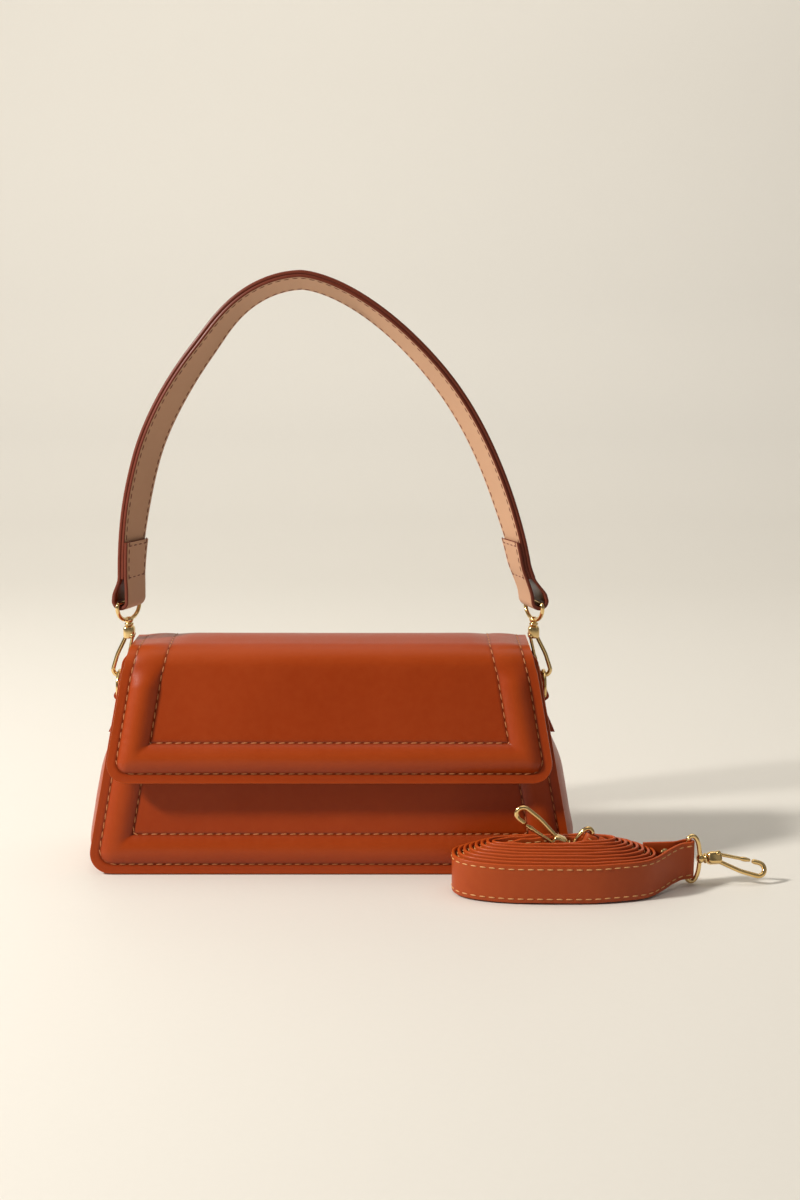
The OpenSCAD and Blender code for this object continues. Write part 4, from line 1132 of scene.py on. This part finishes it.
# A wire along a path; radius is a function of the share of the length
def tube(path, radius, sides=14):
    path = [np.asarray(p, float) for p in path]
    tangents = [unit(path[min(i + 1, len(path) - 1)] - path[max(i - 1, 0)]) for i in range(len(path))]
    normal = unit(np.cross(tangents[0], [0.31, 0.9, 0.27]))
    rings = []
    for i, (p, t) in enumerate(zip(path, tangents)):
        normal = unit(normal - t * normal.dot(t))
        rings.append((p, t, normal, radius(i / (len(path) - 1))))
    first, last = rings[0], rings[-1]
    caps = [(math.sin(a), math.cos(a)) for a in (1.45, 0.95, 0.45)]
    start = [(first[0] - first[1] * first[3] * f, first[1], first[2], first[3] * g) for f, g in caps]
    end = [(last[0] + last[1] * last[3] * f, last[1], last[2], last[3] * g) for f, g in reversed(caps)]
    verts, loops = [], start + rings + end
    for p, t, nrm, r in loops:
        side = np.cross(t, nrm)
        verts += [p + r * (nrm * math.cos(a) + side * math.sin(a)) for a in around(sides)]
    return verts, tubeFaces(len(loops), sides)


def tubeFaces(rows, n):
    faces = [(i * n + j, i * n + (j + 1) % n, (i + 1) * n + (j + 1) % n, (i + 1) * n + j)
             for i in range(rows - 1) for j in range(n)]
    return faces + [tuple(range(n)), tuple((rows - 1) * n + j for j in range(n))]


def turned(profile, sides=28, at=(0, 0, 0), axis="Z"):
    verts = []
    for r, h in profile:
        for a in around(sides):
            q = (r * math.cos(a), r * math.sin(a), h)
            verts.append(np.array(q if axis == "Z" else (q[0], q[2], q[1])) + np.array(at))
    return verts, tubeFaces(len(profile), sides)


def roundedBlock(rows, power=0.55, sides=36):
    verts = []
    for z, hx, hy in rows:
        for a in around(sides):
            c, q = math.cos(a), math.sin(a)
            x, y = hx * math.copysign(abs(c) ** power, c), hy * math.copysign(abs(q) ** power, q)
            verts.append(np.array([x, y, z]))
    return verts, tubeFaces(len(rows), sides)


def hardware(name, parts, place, node):
    verts, faces = [], []
    for points, polygons in parts:
        faces += [tuple(len(verts) + k for k in poly) for poly in polygons]
        verts += [place(p) * 0.001 for p in points]
    mesh = bpy.data.meshes.new(name)
    mesh.from_pydata([tuple(v) for v in verts], [], faces)
    closeAndSmooth(mesh, 55)
    return settle(addObject(name, mesh, [mats["gold_metal"]]), node)


leanC, leanS = math.cos(math.radians(clasp["lean"])), math.sin(math.radians(clasp["lean"]))


def leanPoint(p, q):
    return np.array([5.8 + p * leanC - q * leanS, 0, 103 + p * leanS + q * leanC])


# Turned and rounded forms: radius and height, or height, half width and half depth
knobShape = [(0.1, 133.1), (1.3, 133.0), (2.2, 132.4), (2.45, 131.4), (2.2, 130.5), (1.7, 130.1), (1.75, 129.8),
             (2.35, 129.5), (2.5, 129.1), (2.4, 128.7), (1.2, 128.6), (1.15, 126.0), (0.1, 125.9)]
blockShape = [(121.3, 1.6, 1.8), (121.5, 2.5, 2.7), (122.1, 2.95, 3.15), (123, 3.05, 3.25), (126.4, 3.05, 3.25),
              (127.3, 2.85, 3.05), (128.0, 2.3, 2.45), (128.35, 1.5, 1.6)]
pinShape = [(1.15, 3.05), (1.1, 3.3), (0.8, 3.55), (0.1, 3.65)]


def eyeParts(half, bar):
    low = clasp["postZ"] + 0.2
    corner = ((0, bar), (half - 2.4, bar), (half - 0.7, bar - 0.5), (half, bar - 2.0))
    right = [np.array([0, y, z]) for y, z in corner]
    for t in (20, 40, 60, 78, 90):
        c, q = math.cos(math.radians(t)), math.sin(math.radians(t))
        right.append(np.array([0, half * c ** 0.85, bar - 2.0 - (bar - 2.0 - low) * q]))
    left = [p * np.array([1, -1, 1]) for p in right[-2::-1]]
    ring = tube(catmull(right + left), lambda t: clasp["wire"])
    return [ring, turned(knobShape)]


def hookParts():
    bendR = clasp["bendR"]
    bend = [leanPoint(0.55 + bendR * math.cos(math.radians(a)), 0.8 + bendR * math.sin(math.radians(a)))
            for a in range(0, -181, -20)]
    leg = [np.array([x, 0, z]) for x, z in ((1.9, 124.0), (2.2, 121.6), (4.35, 117.2))]
    leg += [leanPoint(3.55, 9), leanPoint(3.7, 4.2)]
    end = [leanPoint(-bendR + 0.55, 2.2), leanPoint(-bendR + 0.55, 3.4)]
    wire = tube(catmull(leg + bend + end), lambda t: 1.05 + 0.15 * ease(t * 2))
    pivot = (clasp["pivotX"], 0, clasp["pivotZ"])
    pins = [turned([(r, s * h) for r, h in pinShape], 16, pivot, "Y") for s in (-1, 1)]
    return [wire, roundedBlock(blockShape), *pins]


# The gate is thicker near its tip and where it leaves the pivot
def gateRadius(t):
    return clasp["gate"] + 0.3 * math.exp(-((t - 0.86) / 0.09) ** 4) + 0.2 * ease((0.16 - t) / 0.1)


def gateParts():
    top = np.array([clasp["pivotX"], 0, clasp["pivotZ"]])
    tip = leanPoint(-2.6, 5.9)
    return [tube([top + (tip - top) * k / 30 for k in range(31)], gateRadius, 16)]


def turnZ(p, deg):
    c, q = math.cos(math.radians(deg)), math.sin(math.radians(deg))
    return np.array([p[0] * c - p[1] * q, p[0] * q + p[1] * c, p[2]])


strapBarZ = clasp["postZ"] + 6


# Sets a clasp on a strap's end, so that its bar lies at bar and it points along travel
def onStrap(bar, travel, across, turn):
    base = np.column_stack([np.cross(across, -travel), across, -travel])
    drop = np.array([0, 0, strapBarZ])
    return lambda p: bar + base @ (clasp["scale"] * (turnZ(p, turn) - drop))


for tag, side in (("left", -1), ("right", 1)):
    mirrored = lambda p, side=side: np.array([side * (p[0] + handle["eyeX"]), p[1], p[2]])
    angle = math.degrees(twistAt(side, loopZ)) + clasp["eyeTurn"]
    hardware("eyeRing_" + tag, eyeParts(clasp["eyeHalf"], handle["eyeZ"]),
             lambda p, put=mirrored, angle=angle: put(turnZ(p, angle)), "eye_" + tag)
    hardware("hookWire_" + tag, hookParts(), mirrored, "hook_" + tag)
    hardware("gateWire_" + tag, gateParts(), mirrored, "gate_" + tag)
tailBar = np.array([*tailEnd, stripW / 2 + coil["tailLift"]]) - tailFar * midR
innerBar = np.array([*innerEnd, innerZ]) - innerFar * midR
for tag, bar, travel, across, turn in (("outer", tailBar, tailTravel, up, clasp["tailTurn"]),
                                       ("inner", innerBar, innerTravel, innerAcross, clasp["innerTurn"])):
    ring = eyeParts(clasp["strapEyeHalf"], strapBarZ)
    hardware("eyeRing_" + tag, ring, onStrap(bar, travel, across, 0), "eye_" + tag)
    hardware("hookWire_" + tag, hookParts(), onStrap(bar, travel, across, turn), "hook_" + tag)
    hardware("gateWire_" + tag, gateParts(), onStrap(bar, travel, across, turn), "gate_" + tag)
print("stage: clasps")

# Pieces that keep the part's own shape
for node in bodyOf:
    if frame["nodes"][node].hide_render:
        continue
    cadCopy(node)
print("stage: other pieces")

# Room, light and camera
floorMat = plain("floorPaint", (0.80, 0.77, 0.71), (0.785, 0.755, 0.695), 0.6)
mesh = bpy.data.meshes.new("floor")
profile = [(-3.0, 0.0), (0.9, 0.0), (1.15, 0.03), (1.35, 0.12), (1.48, 0.3), (1.52, 0.6), (1.52, 3.0)]
# The floor lies a hair below the part, so that the two don't share a plane
mesh.from_pydata([(x, y, z - 0.0002) for y, z in profile for x in (-4, 4)], [],
                 [(2 * k, 2 * k + 1, 2 * k + 3, 2 * k + 2) for k in range(len(profile) - 1)])
mesh.shade_smooth()
floor = addObject("floor", mesh, [floorMat])
# Each lamp's energy in watts, size, place, target and colour
lamps = {
    "keyLamp": (35.0, 0.2, (-1.3, -0.52, 1.12), (0.0, 0.0, 0.1), (1.0, 0.96, 0.90)),
    "fillLamp": (1.1, 1.4, (1.3, -1.3, 0.9), (0.0, 0.0, 0.1), (1.0, 0.97, 0.92)),
    "topLamp": (8.5, 1.8, (-0.1, 0.2, 2.1), (0.0, 0.3, 0.0), (1.0, 0.94, 0.84)),
    "wallLamp": (7.0, 1.4, (0.5, 0.35, 1.5), (0.5, 1.5, 0.7), (1.0, 0.98, 0.94)),
}
room = dict(colour=(0.93, 0.91, 0.87), strength=0.15)
view = dict(lens=50, place=(0.037, -0.882, 0.300), tilt=79.85)


def areaLamp(name, energy, size, place, target, colour):
    data = bpy.data.lights.new(name, "AREA")
    data.energy, data.size, data.color = energy, size, colour
    obj = bpy.data.objects.new(name, data)
    scene.collection.objects.link(obj)
    obj.location = place
    obj.rotation_euler = (Vector(target) - Vector(place)).to_track_quat("-Z", "Y").to_euler()


for name, values in lamps.items():
    areaLamp(name, *values)
world = bpy.data.worlds.new("studio")
scene.world = world
world.use_nodes = True
background = world.node_tree.nodes["Background"]
background.inputs["Color"].default_value = (*room["colour"], 1)
background.inputs["Strength"].default_value = room["strength"]
cameraData = bpy.data.cameras.new("camera")
cameraData.lens = view["lens"]
camera = bpy.data.objects.new("camera", cameraData)
camera.location = view["place"]
camera.rotation_euler = (math.radians(view["tilt"]), 0, 0)
scene.collection.objects.link(camera)
scene.camera = camera
scene.view_settings.view_transform = "Standard"
